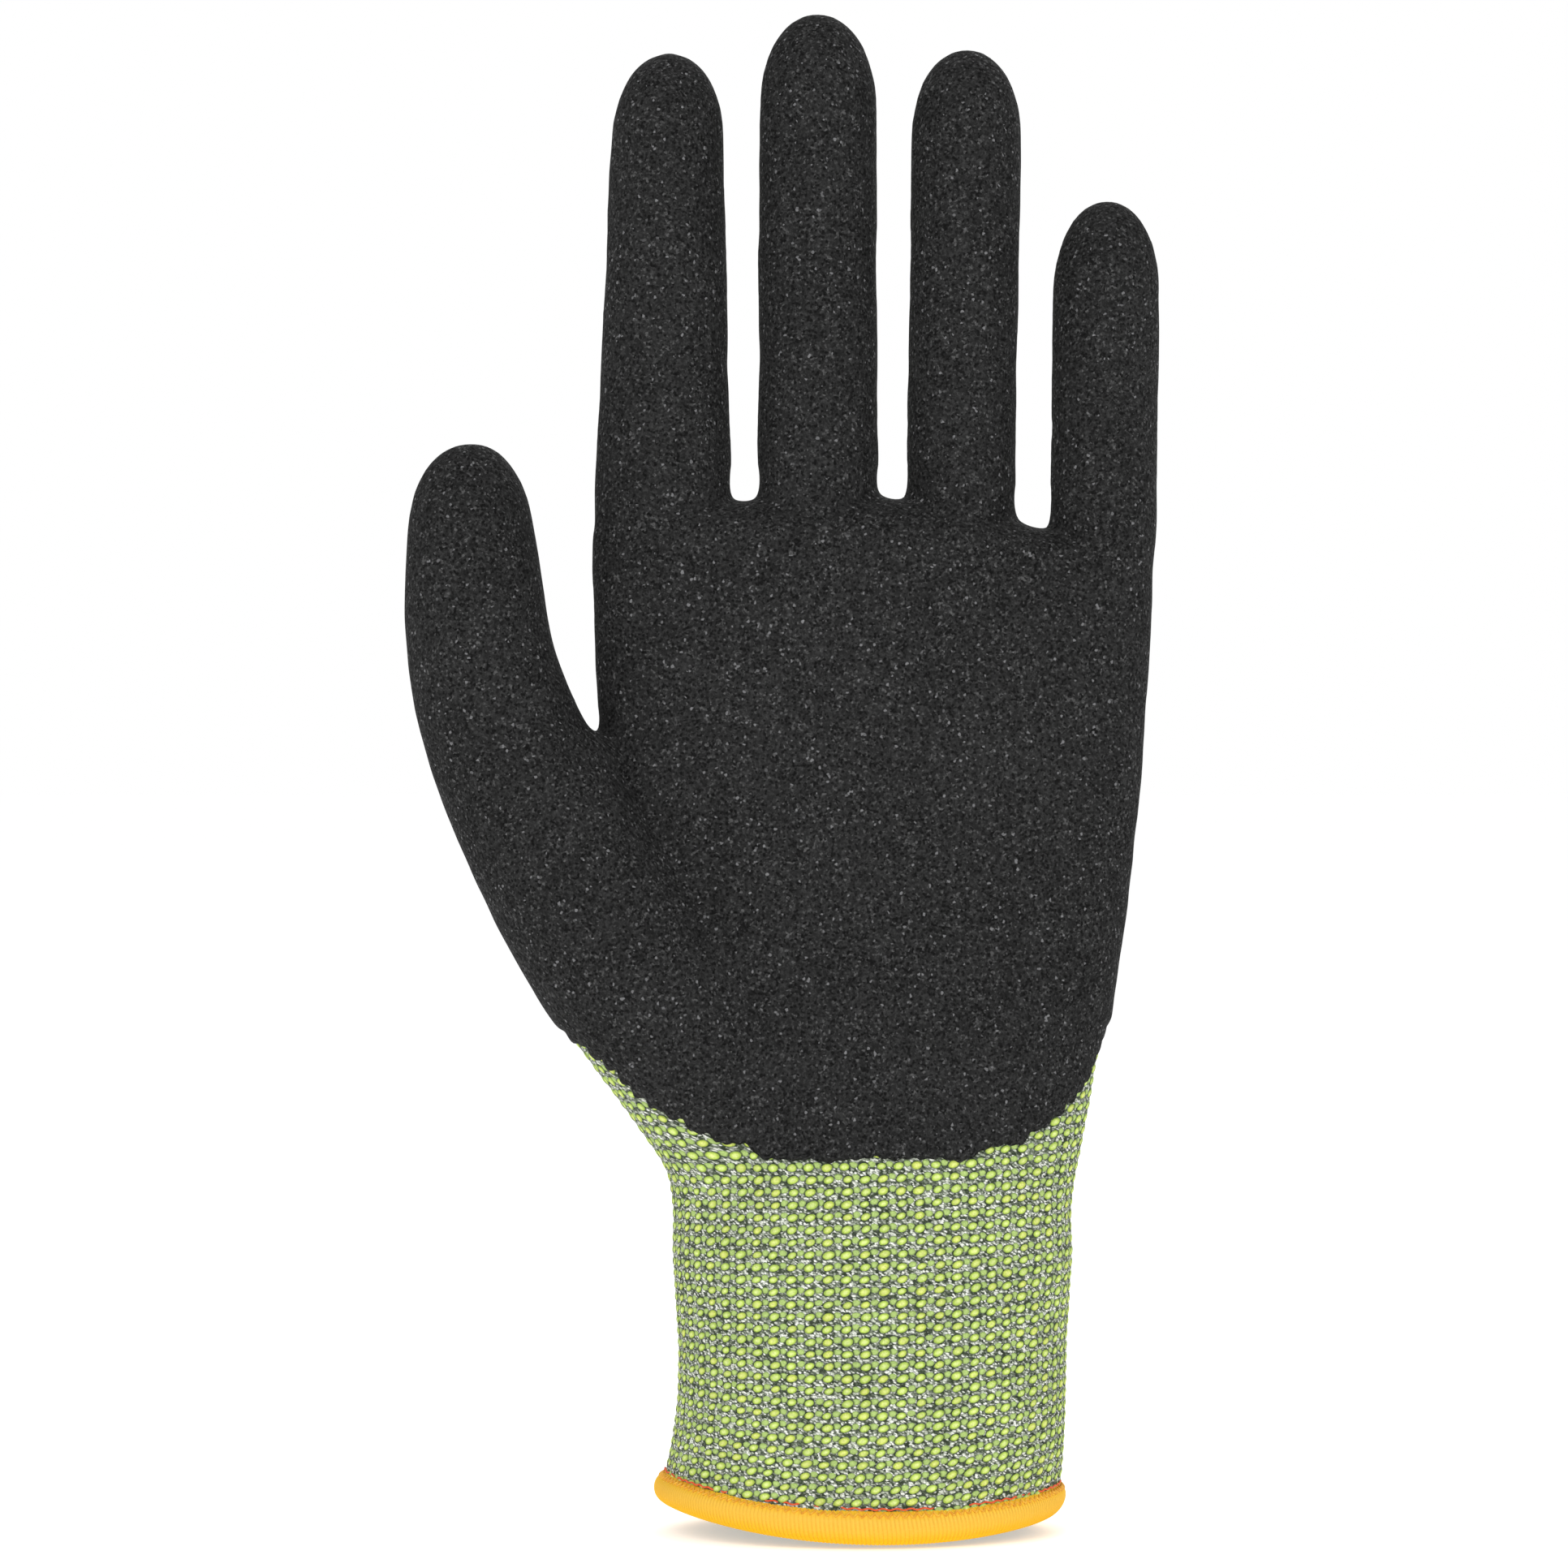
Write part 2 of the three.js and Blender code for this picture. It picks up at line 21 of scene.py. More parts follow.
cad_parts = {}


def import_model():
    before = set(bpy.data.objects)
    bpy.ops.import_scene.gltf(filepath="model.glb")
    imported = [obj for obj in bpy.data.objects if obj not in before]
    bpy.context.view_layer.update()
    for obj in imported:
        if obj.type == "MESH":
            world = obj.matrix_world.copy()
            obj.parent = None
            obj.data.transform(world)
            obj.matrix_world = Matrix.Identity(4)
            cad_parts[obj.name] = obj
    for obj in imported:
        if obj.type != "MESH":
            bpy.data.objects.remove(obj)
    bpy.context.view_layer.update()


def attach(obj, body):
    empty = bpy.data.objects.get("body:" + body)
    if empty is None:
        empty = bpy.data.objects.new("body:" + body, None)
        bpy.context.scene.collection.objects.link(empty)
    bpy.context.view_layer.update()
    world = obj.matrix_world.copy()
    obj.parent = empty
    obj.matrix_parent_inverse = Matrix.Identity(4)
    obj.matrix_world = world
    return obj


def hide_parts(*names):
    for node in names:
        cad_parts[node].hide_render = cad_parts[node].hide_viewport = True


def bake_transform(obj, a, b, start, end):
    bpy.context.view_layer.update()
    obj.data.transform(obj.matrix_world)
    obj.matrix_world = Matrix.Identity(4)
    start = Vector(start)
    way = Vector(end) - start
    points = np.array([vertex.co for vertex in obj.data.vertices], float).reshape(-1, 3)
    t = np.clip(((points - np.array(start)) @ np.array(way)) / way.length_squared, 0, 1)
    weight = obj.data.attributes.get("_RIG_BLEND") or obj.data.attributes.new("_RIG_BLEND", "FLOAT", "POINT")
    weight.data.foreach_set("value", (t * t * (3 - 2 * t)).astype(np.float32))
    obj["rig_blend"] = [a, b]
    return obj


Array = np.ndarray
Colour = tuple[float, float, float, float]
Socket = bpy.types.NodeSocket
LOG = logging.getLogger("glove")
MM = 0.001
TURN = 2 * math.pi


class Layer(Enum):
    """The two layers of the glove's skin."""

    KNIT = "knit"
    COATING = "coating"


def ease(low: float, high: float, value: Array | float) -> Array:
    """Rises smoothly from 0 at low to 1 at high."""
    share = np.clip((np.asarray(value, float) - low) / (high - low), 0, 1)
    return share * share * (3 - 2 * share)


def lerp(a: Array | float, b: Array | float, share: Array | float) -> Array:
    """Goes straight from a to b."""
    return a + (b - a) * share


def positions(verts: Iterable[bmesh.types.BMVert]) -> Array:
    """The places of some vertices, one row each."""
    return np.array([vert.co[:] for vert in verts], float).reshape(-1, 3)


def place(verts: Iterable[bmesh.types.BMVert], rows: Array) -> None:
    """Moves each vertex to its row."""
    for vert, row in zip(verts, rows.tolist()):
        vert.co = row


def middles(faces: Iterable[bmesh.types.BMFace]) -> Array:
    """The middles of some faces, one row each."""
    return np.array([face.calc_center_median()[:] for face in faces], float)


def soften(bm: bmesh.types.BMesh, verts: Iterable[bmesh.types.BMVert], passes: int) -> None:
    """Smooths some vertices a number of times."""
    for _ in range(passes):
        bmesh.ops.smooth_vert(
            bm, verts=verts, factor=0.5, use_axis_x=True, use_axis_y=True, use_axis_z=True
        )


def stand(name: str, data: bpy.types.ID) -> bpy.types.Object:
    """Puts a mesh, lamp or camera into the scene as an object at the origin."""
    made = bpy.data.objects.new(name, data)
    bpy.context.scene.collection.objects.link(made)
    return made


def finished_object(name: str, bm: bmesh.types.BMesh, material: bpy.types.Material) -> bpy.types.Object:
    """Turns a finished form in millimetres into an object in metres.

    Args:
        name: The piece's name.
        bm: Its form; freed here.
        material: Its finish.

    Returns:
        The object, at the origin, smooth shaded.
    """
    mesh = bpy.data.meshes.new(name)
    bm.to_mesh(mesh)
    bm.free()
    mesh.transform(Matrix.Scale(MM, 4))
    mesh.materials.append(material)
    mesh.shade_smooth()
    return stand(name, mesh)


def sleeve(
    bm: bmesh.types.BMesh, around: int, along: int, shape: Callable[[Array, Array], Array]
) -> list[bmesh.types.BMVert]:
    """Adds a tube: a grid that is rolled up and sewn.

    Args:
        bm: The form that it is added to.
        around: Number of faces round the tube.
        along: Number of faces along it.
        shape: Gives points from a turn (0 to 1) and a share of the length (0 to 1).

    Returns:
        The new vertices, before the sewing merges the ends.
    """
    made = bmesh.ops.create_grid(bm, x_segments=around, y_segments=along, size=0.5)["verts"]
    grid = positions(made) + 0.5
    place(made, shape(grid[:, 0], grid[:, 1]))
    return made


# ---- The form of the filled glove ----


@dataclass(frozen=True)
class Finger:
    """One finger of the glove, in millimetres.

    Attributes:
        name: Its name.
        x: Its middle line at the palm.
        lean: How far it leans to the little finger's side by the tip.
        base: Half width at the palm.
        width: Half width near the tip.
        depth: Half depth.
        tip: Height of its tip.
        dome: Length of the rounded tip.
        bends: Heights of its three bends.
        columns: Columns of stitches round it.
    """

    name: str
    x: float
    lean: float
    base: float
    width: float
    depth: float
    tip: float
    dome: float
    bends: tuple[float, float, float]
    columns: int


@dataclass(frozen=True)
class HandForm:
    """The form of the filled glove, as its CAD frame has it, with the knit's face inside the coating's.

    Two places differ from the frame: a small web beside the thumb, and a shallower hollow below its ball.
    """

    cuff_half_width: float = 32
    cuff_half_depth: float = 23
    cuff_length: float = 51
    hem_flare: float = 0.7
    hem_shift: float = 2.6
    hem_flare_height: float = 26
    hem_rise: float = 3.4
    hem_lowest: float = 0.17
    wrist_half_width: float = 33.2
    wrist_half_depth: float = 22.4
    palm_length: float = 114
    palm_half_width: float = 46.4
    knuckle_half_depth: float = 11.8
    squareness: float = 2.7
    # how fast the palm reaches its full width and depth, and where it is fully squared
    palm_spread: float = 1.85
    palm_thinning: float = 1.5
    palm_square_from: float = 0.7
    cuff_widening_start: float = 30
    skin_passes: int = 10
    web_height: float = 5
    web_slope: float = 0.17
    web_slope_start: float = 3
    web_run: float = 20
    web_reach: float = 5.5
    web_passes: int = 26
    # middle, half width, half depth, squareness and middle depth of the web beside the thumb
    thumb_web: tuple[float, float, float, float, float] = (-45.4, 3.6, 9, 2, -4)
    thumb_web_span: tuple[float, float] = (112, 130)
    # place across, height and reach of the hollow below the ball of the thumb
    ball_hollow: tuple[float, float, float] = (-37, 65, 9)
    coating_height: float = 1.2
    step_start: float = 45
    step_end: float = 59
    finger_root: float = 140
    root_narrowing: float = 1.6
    thumb_tip: float = 178.6
    voxel: float = 0.85
    fingers: tuple[Finger, ...] = (
        Finger("index", -35, 1.2, 11.4, 9.3, 9.6, 243.6, 13, (171, 196, 219), 20),
        Finger("middle", -9, 0, 10, 9.8, 9.8, 250, 14, (172, 199, 224), 20),
        Finger("ring", 14.2, 1.3, 9.1, 9.2, 9.3, 244.2, 13, (171, 197, 220), 19),
        Finger("little", 37.8, 0.8, 8.9, 8.9, 8.6, 219.3, 14, (167.5, 186, 202), 18),
    )
    limits: tuple[float, ...] = (-50, -21.3, 3.1, 26.1, 56)
    # height, left edge, right edge, middle depth and half depth of the thumb and its ball
    thumb: tuple[tuple[float, float, float, float, float], ...] = (
        (58, -34, -8, 0, 15),
        (71.3, -43.4, -10, -1.5, 16.5),
        (84.7, -53.3, -14, -3, 17),
        (104.8, -64.3, -28, -4.5, 16),
        (118.2, -70.2, -37, -5.2, 14.5),
        (131.6, -74.5, -46.6, -6, 12.6),
        (145, -76.5, -52.2, -6.6, 11.4),
        (158.4, -76.7, -54.6, -7, 10.6),
        (164.6, -76.3, -55.6, -7.2, 10.2),
    )

    @property
    def knuckle_height(self) -> float:
        """Height of the knuckle line."""
        return self.cuff_length + self.palm_length

    def inset(self, z: Array) -> Array:
        """How far the knit's face lies inside the outline, to make room for the coating."""
        return self.coating_height * ease(self.step_start, self.step_end, z)

    def palm_sizes(self, z: Array) -> tuple[Array, Array, Array, Array]:
        """Middle, half width, half depth and squareness of the palm and cuff at some heights."""
        rise = np.clip((z - self.cuff_length) / self.palm_length, 0, 1)
        flare = np.clip(1 - z / self.hem_flare_height, 0, None) ** 2
        narrowing = ease(self.cuff_widening_start, self.cuff_length, z)
        width = lerp(self.cuff_half_width, self.wrist_half_width, narrowing)
        depth = lerp(self.cuff_half_depth, self.wrist_half_depth, narrowing)
        spread, thinning = (1 - (1 - rise) ** power for power in (self.palm_spread, self.palm_thinning))
        width = width + (self.palm_half_width - self.wrist_half_width) * spread
        depth = depth - (self.wrist_half_depth - self.knuckle_half_depth) * thinning
        return (
            -self.hem_shift * flare,
            width + self.hem_flare * flare - self.inset(z),
            depth + 0.5 * self.hem_flare * flare - self.inset(z),
            2 + (self.squareness - 2) * ease(0, self.palm_square_from, rise),
        )

    def hem_lift(self, points: Array) -> Array:
        """How far the knit's rows rise at the sides of the cuff."""
        middle, width, _, _ = self.palm_sizes(points[:, 2])
        side = np.clip((points[:, 0] - middle) / width, -1.1, 1.1)
        curl = self.hem_rise * np.clip(1 - points[:, 2] / self.cuff_length, 0, 1) ** 2
        return curl * (side - self.hem_lowest) ** 2

    def finger_sizes(self, finger: Finger, z: Array) -> tuple[Array, Array, Array, Array]:
        """Middle, half width, half depth and squareness of a finger at some heights."""
        straight, knuckle = finger.tip - finger.dome, finger.bends[0]
        rise = (z - self.finger_root) / (straight - self.finger_root)
        sunk = 1 - ease(self.finger_root, knuckle, z)
        width = lerp(finger.base, finger.width, np.clip((z - knuckle) / (straight - knuckle), 0, 1))
        return (
            finger.x + finger.lean * np.clip(rise, 0, 1.2),
            width - self.root_narrowing * sunk - self.coating_height,
            finger.depth - self.coating_height + 0 * z,
            2 + 0 * z,
        )

    def thumb_sizes(self, z: Array) -> tuple[Array, Array, Array, Array, Array]:
        """Middle, half width, half depth, squareness and middle depth of the thumb at some heights."""
        table = np.array(self.thumb, float)
        z = np.clip(z, table[0, 0], table[-1, 0])
        left, right, y, depth = (self.curve(table[:, 0], table[:, k], z) for k in range(1, 5))
        return (
            (left + right) / 2,
            (right - left) / 2 - self.coating_height,
            depth - self.coating_height,
            2.2 + 0 * z,
            y,
        )

    @staticmethod
    def curve(at: Array, values: Array, z: Array) -> Array:
        """A smooth curve through the values, with the slope at each taken from its neighbours."""
        slopes = np.gradient(values, at)
        k = np.clip(np.searchsorted(at, z, side="right") - 1, 0, len(at) - 2)
        step = at[k + 1] - at[k]
        t = (z - at[k]) / step
        return (
            (2 * t**3 - 3 * t**2 + 1) * values[k]
            + (t**3 - 2 * t**2 + t) * step * slopes[k]
            + (-2 * t**3 + 3 * t**2) * values[k + 1]
            + (t**3 - t**2) * step * slopes[k + 1]
        )

    def _domed(self, low: float, high: float, dome: float, steps: int) -> tuple[Array, Array]:
        """Heights and fullness of a tube with a flat foot and a domed top."""
        straight = np.linspace(low, high - dome, steps)
        bend = np.linspace(0, math.pi / 2, 14)[1:]
        heights = np.concatenate([[low], straight, high - dome + dome * np.sin(bend)])
        fills = np.concatenate([[0], np.ones(steps), np.cos(bend)])
        return heights, fills

    def _tube(
        self,
        bm: bmesh.types.BMesh,
        heights: Array,
        fills: Array,
        sizes: Callable[[Array], tuple[Array, ...]],
        around: int,
        webbed: bool = False,
    ) -> None:
        """Adds one closed tube through the level sections.

        Args:
            bm: The form that it is added to.
            heights: Height of each level.
            fills: How full each level is, 0 on the middle line and 1 at the wall.
            sizes: Gives the middle, half sizes and squareness at some heights.
            around: Number of faces round the tube.
            webbed: Whether its top falls away to the little finger's side.
        """

        def shape(turn: Array, share: Array) -> Array:
            """Points of the tube."""
            level = np.rint(share * (len(heights) - 1)).astype(int)
            z, fill = heights[level], fills[level]
            middle, width, depth, square, *rest = sizes(z)
            y = rest[0] if rest else 0
            angle = turn * TURN
            side, front = np.sin(angle), np.cos(angle)
            across = np.sign(side) * np.abs(side) ** (2 / square)
            forward = np.sign(front) * np.abs(front) ** (2 / square)
            x = middle + fill * width * across
            if webbed:
                web = ease(self.knuckle_height - self.web_run, self.knuckle_height, z)
                z = z - web * self.web_slope * np.clip(x - self.web_slope_start, 0, None)
            return np.stack([x, y - fill * depth * forward, z + 0 * x], axis=1)

        sleeve(bm, around, len(heights) - 1, shape)

    def skin(self) -> bmesh.types.BMesh:
        """The face of the knit all over the glove: tubes for palm, fingers and thumb grown into one.

        Returns:
            The form, closed at the cuff, its hem not yet lifted at the sides.
        """
        bm = bmesh.new()
        top = self.knuckle_height + self.web_height - self.coating_height
        palm = self._domed(-6, top, self.web_height, 60)
        self._tube(bm, *palm, self.palm_sizes, 96, webbed=True)
        for finger in self.fingers:
            levels = self._domed(self.finger_root, finger.tip - self.coating_height, finger.dome, 24)
            self._tube(bm, *levels, lambda z, f=finger: self.finger_sizes(f, z), 48)
        levels = self._domed(self.thumb[0][0], self.thumb_tip - self.coating_height, 14, 36)
        self._tube(bm, *levels, self.thumb_sizes, 56)
        self._tube(bm, *self._domed(*self.thumb_web_span, 3, 8), self._thumb_web_sizes, 24)
        bmesh.ops.remove_doubles(bm, verts=bm.verts, dist=0.001)
        bmesh.ops.recalc_face_normals(bm, faces=bm.faces)
        tubes = bpy.data.meshes.new("tubes")
        bm.to_mesh(tubes)
        bm.free()
        grown = stand("grown", tubes)
        remesh = grown.modifiers.new("one_skin", "REMESH")
        remesh.mode = "VOXEL"
        remesh.voxel_size = self.voxel
        depsgraph = bpy.context.evaluated_depsgraph_get()
        whole = bmesh.new()
        whole.from_object(grown, depsgraph)
        bpy.data.objects.remove(grown)
        soften(whole, whole.verts, self.skin_passes)
        self._round_webs(whole)
        return whole

    def _thumb_web_sizes(self, z: Array) -> tuple[Array, ...]:
        """Middle, half width, half depth, squareness and middle depth of the web beside the thumb."""
        return tuple(value + 0 * z for value in self.thumb_web)

    def _round_webs(self, bm: bmesh.types.BMesh) -> None:
        """Rounds the bottoms of the gaps between the fingers, beside the thumb and below its ball."""
        top = self.knuckle_height + self.web_height
        hollows = [
            (x, top - self.web_slope * max(0, x - self.web_slope_start), self.web_reach)
            for x in self.limits[1:4]
        ]
        hollows.append((self.thumb_web[0], self.thumb_web_span[1], self.web_reach))
        hollows.append(self.ball_hollow)
        for x, z, reach in hollows:
            near = [vert for vert in bm.verts if abs(vert.co.z - z) < reach and abs(vert.co.x - x) < reach]
            soften(bm, near, self.web_passes)


# ---- Where the skin is divided, and what each part follows ----


@dataclass(frozen=True)
class Part:
    """One part of the skin, which bends across one joint.

    Attributes:
        name: Its name.
        low: Lowest height of the part.
        high: Highest height of the part.
        left: Least x of the part.
        right: Greatest x of the part.
        bodies: The two bodies that it bends between.
        start: Where it begins to turn.
        end: Where it has turned fully.
        nodes: The CAD sections that it stands for.
    """

    name: str
    low: float
    high: float
    left: float
    right: float
    bodies: tuple[str, str]
    start: tuple[float, float, float]
    end: tuple[float, float, float]
    nodes: tuple[str, ...]

    def holds(self, points: Array) -> Array:
        """Whether each point lies in the part."""
        x, z = points[:, 0], points[:, 2]
        return (z > self.low) & (z < self.high) & (x > self.left) & (x < self.right)


@dataclass(frozen=True)
class Division:
    """How the skin is divided at the wrist, along each finger and on the thumb."""

    form: HandForm
    wrist_cut: float = 56
    wrist_turn: tuple[float, float] = (27, 55)
    thumb_cut: float = 143
    thumb_turn: tuple[float, float] = (144, 160)
    thumb_right: float = -49.5
    fold_turn: tuple[float, float] = (-45.6, -51.6)
    fold_height: float = 100
    knuckle_turn: float = 13
    # the cut between a finger's base and middle stands above the halfway height
    middle_raise: float = 1.5
    # what is kept between a bend and a cut
    clearance: float = 0.3
    sliver: float = 0.1
    cut_reach: float = 3
    cut_snap: float = 0.02
    far: float = 400

    def parts(self) -> list[Part]:
        """Every part, the palm last, which takes what is left."""
        spans = [
            ("cuff", "palm", "cuff", -self.far, self.wrist_cut, *self.wrist_turn, -self.far, self.far),
            ("thumb_base", "thumb_tip", "thumb_tip", self.thumb_cut, self.far, *self.thumb_turn,
             -self.far, self.thumb_right),
        ]
        for finger, left, right in zip(self.form.fingers, self.form.limits, self.form.limits[1:]):
            knuckle, middle, tip = finger.bends
            low_cut = knuckle + self.clearance
            mid_cut = (knuckle + middle) / 2 + self.middle_raise
            high_cut = (middle + tip) / 2
            base, mid, end = (f"{finger.name}_{section}" for section in ("base", "middle", "tip"))
            knuckle_end = min(low_cut + self.knuckle_turn, mid_cut - self.sliver)
            reach = min(middle - mid_cut, high_cut - middle) - self.clearance
            last = tip - high_cut - self.clearance
            spans += [
                ("palm", base, base, low_cut, mid_cut, low_cut + self.sliver, knuckle_end, left, right),
                (base, mid, mid, mid_cut, high_cut, middle - reach, middle + reach, left, right),
                (mid, end, end, high_cut, self.far, tip - last, tip + last, left, right),
            ]
        made = [
            Part(name, low, high, left, right, (parent, child), (0, 0, start), (0, 0, stop), (name,))
            for parent, child, name, low, high, start, stop, left, right in spans
        ]
        start, stop = ((x, 0, self.fold_height) for x in self.fold_turn)
        bodies = ("palm", "thumb_base")
        made.append(Part("palm", self.wrist_cut, self.far, -self.far, self.far, bodies, start, stop, bodies))
        return made

    def divide(self, bm: bmesh.types.BMesh) -> None:
        """Cuts the skin at each part's ends and numbers each face by its part."""
        for part in self.parts():
            for height in (part.low, part.high):
                if abs(height) < self.far:
                    self._cut(bm, part, height)
        number = bm.faces.layers.int.new("part")
        bm.faces.ensure_lookup_table()
        centres = middles(bm.faces)
        numbers = np.full(len(centres), -1)
        for index, part in reversed(list(enumerate(self.parts()))):
            numbers[part.holds(centres)] = index
        for face, index in zip(bm.faces, numbers.tolist()):
            face[number] = index

    def _cut(self, bm: bmesh.types.BMesh, part: Part, height: float) -> None:
        """Cuts level across the skin, on that part's side of its neighbours."""
        near = {
            vert for vert in bm.verts
            if abs(vert.co.z - height) < self.cut_reach and part.left < vert.co.x < part.right
        }
        faces = [face for face in bm.faces if all(vert in near for vert in face.verts)]
        edges = {edge for face in faces for edge in face.edges}
        verts = {vert for face in faces for vert in face.verts}
        bmesh.ops.bisect_plane(
            bm, geom=[*verts, *edges, *faces], dist=self.cut_snap, plane_co=(0, 0, height), plane_no=(0, 0, 1)
        )


# ---- The coating's outline ----


@dataclass(frozen=True)
class CoatingOutline:
    """Where the dipped coating ends: a curve above the cuff, the sides of the hand and the fingertips."""

    form: HandForm
    # the lower edge, thumb side first: share of the palm's half width, and height above the wrist
    edge: tuple[tuple[float, float], ...] = (
        (-1.22, 31), (-1.07, 30.2), (-0.925, 25.5), (-0.78, 19.8), (-0.555, 13.8), (-0.4, 11.8),
        (-0.22, 10.8), (-0.02, 10.5), (0.17, 10.8), (0.41, 12.5), (0.56, 14.6), (0.665, 18),
        (0.745, 22.8), (0.79, 27.4), (0.82, 31),
    )
    wrap: float = 1.7
    dip: float = 9
    thumb_seed: float = 3.3
    row: float = 2
    stitch: float = 1.5
    # how far the lower edge follows the knit's rows in steps, and where a step rises
    stepping: float = 0.75
    step_rise: tuple[float, float] = (0.32, 0.68)

    def ragged(self, along: Array, seed: float, coarse: float, fine: float) -> Array:
        """A ragged line, as where liquid rubber stops on knitted rows."""
        slow = np.sin(along * 0.23 + seed) + 0.6 * np.sin(along * 0.61 + 2.1 * seed)
        quick = np.sin(along * TURN / self.stitch / 2 + seed) * np.sin(along * 0.9 + 1.3 * seed)
        return coarse * slow + fine * quick

    def lower_edge(self, x: Array) -> Array:
        """Height of the coating's lower edge."""
        table = np.array(self.edge, float) * (self.form.palm_half_width, 1) + (0, self.form.cuff_length)
        return self.form.curve(table[:, 0], table[:, 1], np.clip(x, table[0, 0], table[-1, 0]))

    def depth(self, points: Array) -> Array:
        """How far inside the coating each point is, in millimetres; less than 0 is bare knit."""
        x, y, z = points.T
        side = self.wrap - y + self.ragged(z, 0.4, 0.35, 0.22)
        edge = self.lower_edge(x)
        steps = edge / self.row
        stepped = self.row * (np.floor(steps) + ease(*self.step_rise, steps - np.floor(steps)))
        low = lerp(edge, stepped, self.stepping) + self.ragged(x, 1.1, 0.3, 0.3)
        slope = np.hypot(1, self.lower_edge(x + 0.5) - self.lower_edge(x - 0.5))
        palm = np.minimum(side, np.minimum((z - low) / slope, self.dip))
        tips = np.full(len(points), -self.dip)
        fingers, limits = self.form.fingers, (-math.inf, *self.form.limits)
        ends = [(self.form.thumb_tip, self.thumb_seed), *((finger.tip, finger.x) for finger in fingers)]
        for (tip, seed), left, right in zip(ends, limits, limits[1:]):
            mine = (x > left) & (x < right) & (z > tip - 3 * self.dip)
            tips = np.where(mine, z - tip + self.dip + self.ragged(x, seed, 0.5, 0.25), tips)
        return np.maximum(palm, tips)


# ---- The knit ----


@dataclass(frozen=True)
class Knit:
    """How the liner's stitches lie, and the relief of each one."""

    form: HandForm
    columns: int = 58
    thumb_columns: int = 26
    # the thumb's own tube of knit begins beside the palm, above a line that rises towards it
    thumb_seam_x: float = -46.5
    thumb_seam_low: tuple[float, float] = (-64, 96)
    thumb_seam_slope: float = 1.26
    row: float = 2
    climb: int = 2
    thumb_fade: tuple[float, float] = (80, 130)
    # how far the big loop, the small loop beside it and the band between rows stand out
    big: float = 0.26
    small: float = 0.17
    band: float = 0.14
    band_height: float = 0.95
    band_reach: float = 0.14

    def columns_of(self, name: str) -> int:
        """Number of stitch columns round the tube that a part belongs to."""
        if name == "thumb_tip":
            return self.thumb_columns
        mine = [finger.columns for finger in self.form.fingers if name.startswith(finger.name)]
        return mine[0] if mine else self.columns

    def _sizes(self, name: str, points: Array) -> tuple[Array, Array, Array, Array]:
        """Middle, half width, half depth and middle depth of the tube that a part belongs to."""
        z = points[:, 2]
        for finger in self.form.fingers:
            if name.startswith(finger.name):
                middle, width, depth, _ = self.form.finger_sizes(finger, z)
                return middle, width, depth, 0 * z
        if name == "thumb_tip":
            middle, width, depth, _, y = self.form.thumb_sizes(z)
            return middle, width, depth, y
        middle, width, depth, _ = self.form.palm_sizes(z)
        thumb_middle, thumb_width, _, _, _ = self.form.thumb_sizes(z)
        left, right = middle - width, middle + width
        ball = np.where(z < self.form.thumb[0][0], left, np.minimum(left, thumb_middle - thumb_width))
        low, high = self.thumb_fade
        left = lerp(left, ball, np.clip((high - z) / (high - low), 0, 1))
        return (left + right) / 2, (right - left) / 2, depth, 0 * z

    def on_thumb(self, name: str, points: Array) -> Array:
        """Which points of a part lie on the thumb's tube of knit, though the part is another one."""
        x, z = points[:, 0], points[:, 2]
        low_x, low_z = self.thumb_seam_low
        above = z > low_z + self.thumb_seam_slope * (x - low_x)
        return above & (x < self.thumb_seam_x) & (name == "palm")

    def coordinates(self, name: str, points: Array) -> tuple[Array, Array]:
        """Column and row of each point, each a whole number from one stitch to the next."""
        middle, width, depth, y = self._sizes(name, points)
        across = (points[:, 0] - middle) / width
        forward = -(points[:, 1] - y) / depth
        turn = np.arctan2(across, forward)
        flatness = (width**2 - depth**2) / (width**2 + depth**2)
        turn = turn + 0.25 * flatness * (1 + 0.25 * flatness**2) * np.sin(2 * turn)
        share = turn / TURN
        level = (points[:, 2] - self.form.hem_lift(points)) / self.row
        return self.columns_of(name) * share, level - self.climb * share

    def relief(self, column: Array, row: Array) -> Array:
        """How far the yarn stands out at each point."""
        u, v = column - np.floor(column), row - np.floor(row)

        def loop(across: Array, middle: float, wide: float, tall: float) -> Array:
            """A rounded loop, 1 at its middle."""
            return np.clip(1 - ((across - 0.5) / wide) ** 2 - ((v - middle) / tall) ** 2, 0, 1) ** 0.5

        big = loop(u, 0.42, 0.33, 0.36)
        small = loop((u + 0.5) - np.floor(u + 0.5), 0.6, 0.24, 0.26)
        away = v - self.band_height + np.rint(self.band_height - v)
        band = np.exp(-((away / self.band_reach) ** 2)) * (0.7 + 0.3 * np.cos(2 * TURN * u))
        return np.maximum(np.maximum(self.big * big, self.small * small), self.band * band)


# ---- Finishes ----


def linear(red: int, green: int, blue: int) -> Colour:
    """A display colour as light."""
    shares = (value / 255 for value in (red, green, blue))
    return (*(((c + 0.055) / 1.055) ** 2.4 if c > 10 / 255 else c / 12.92 for c in shares), 1.0)


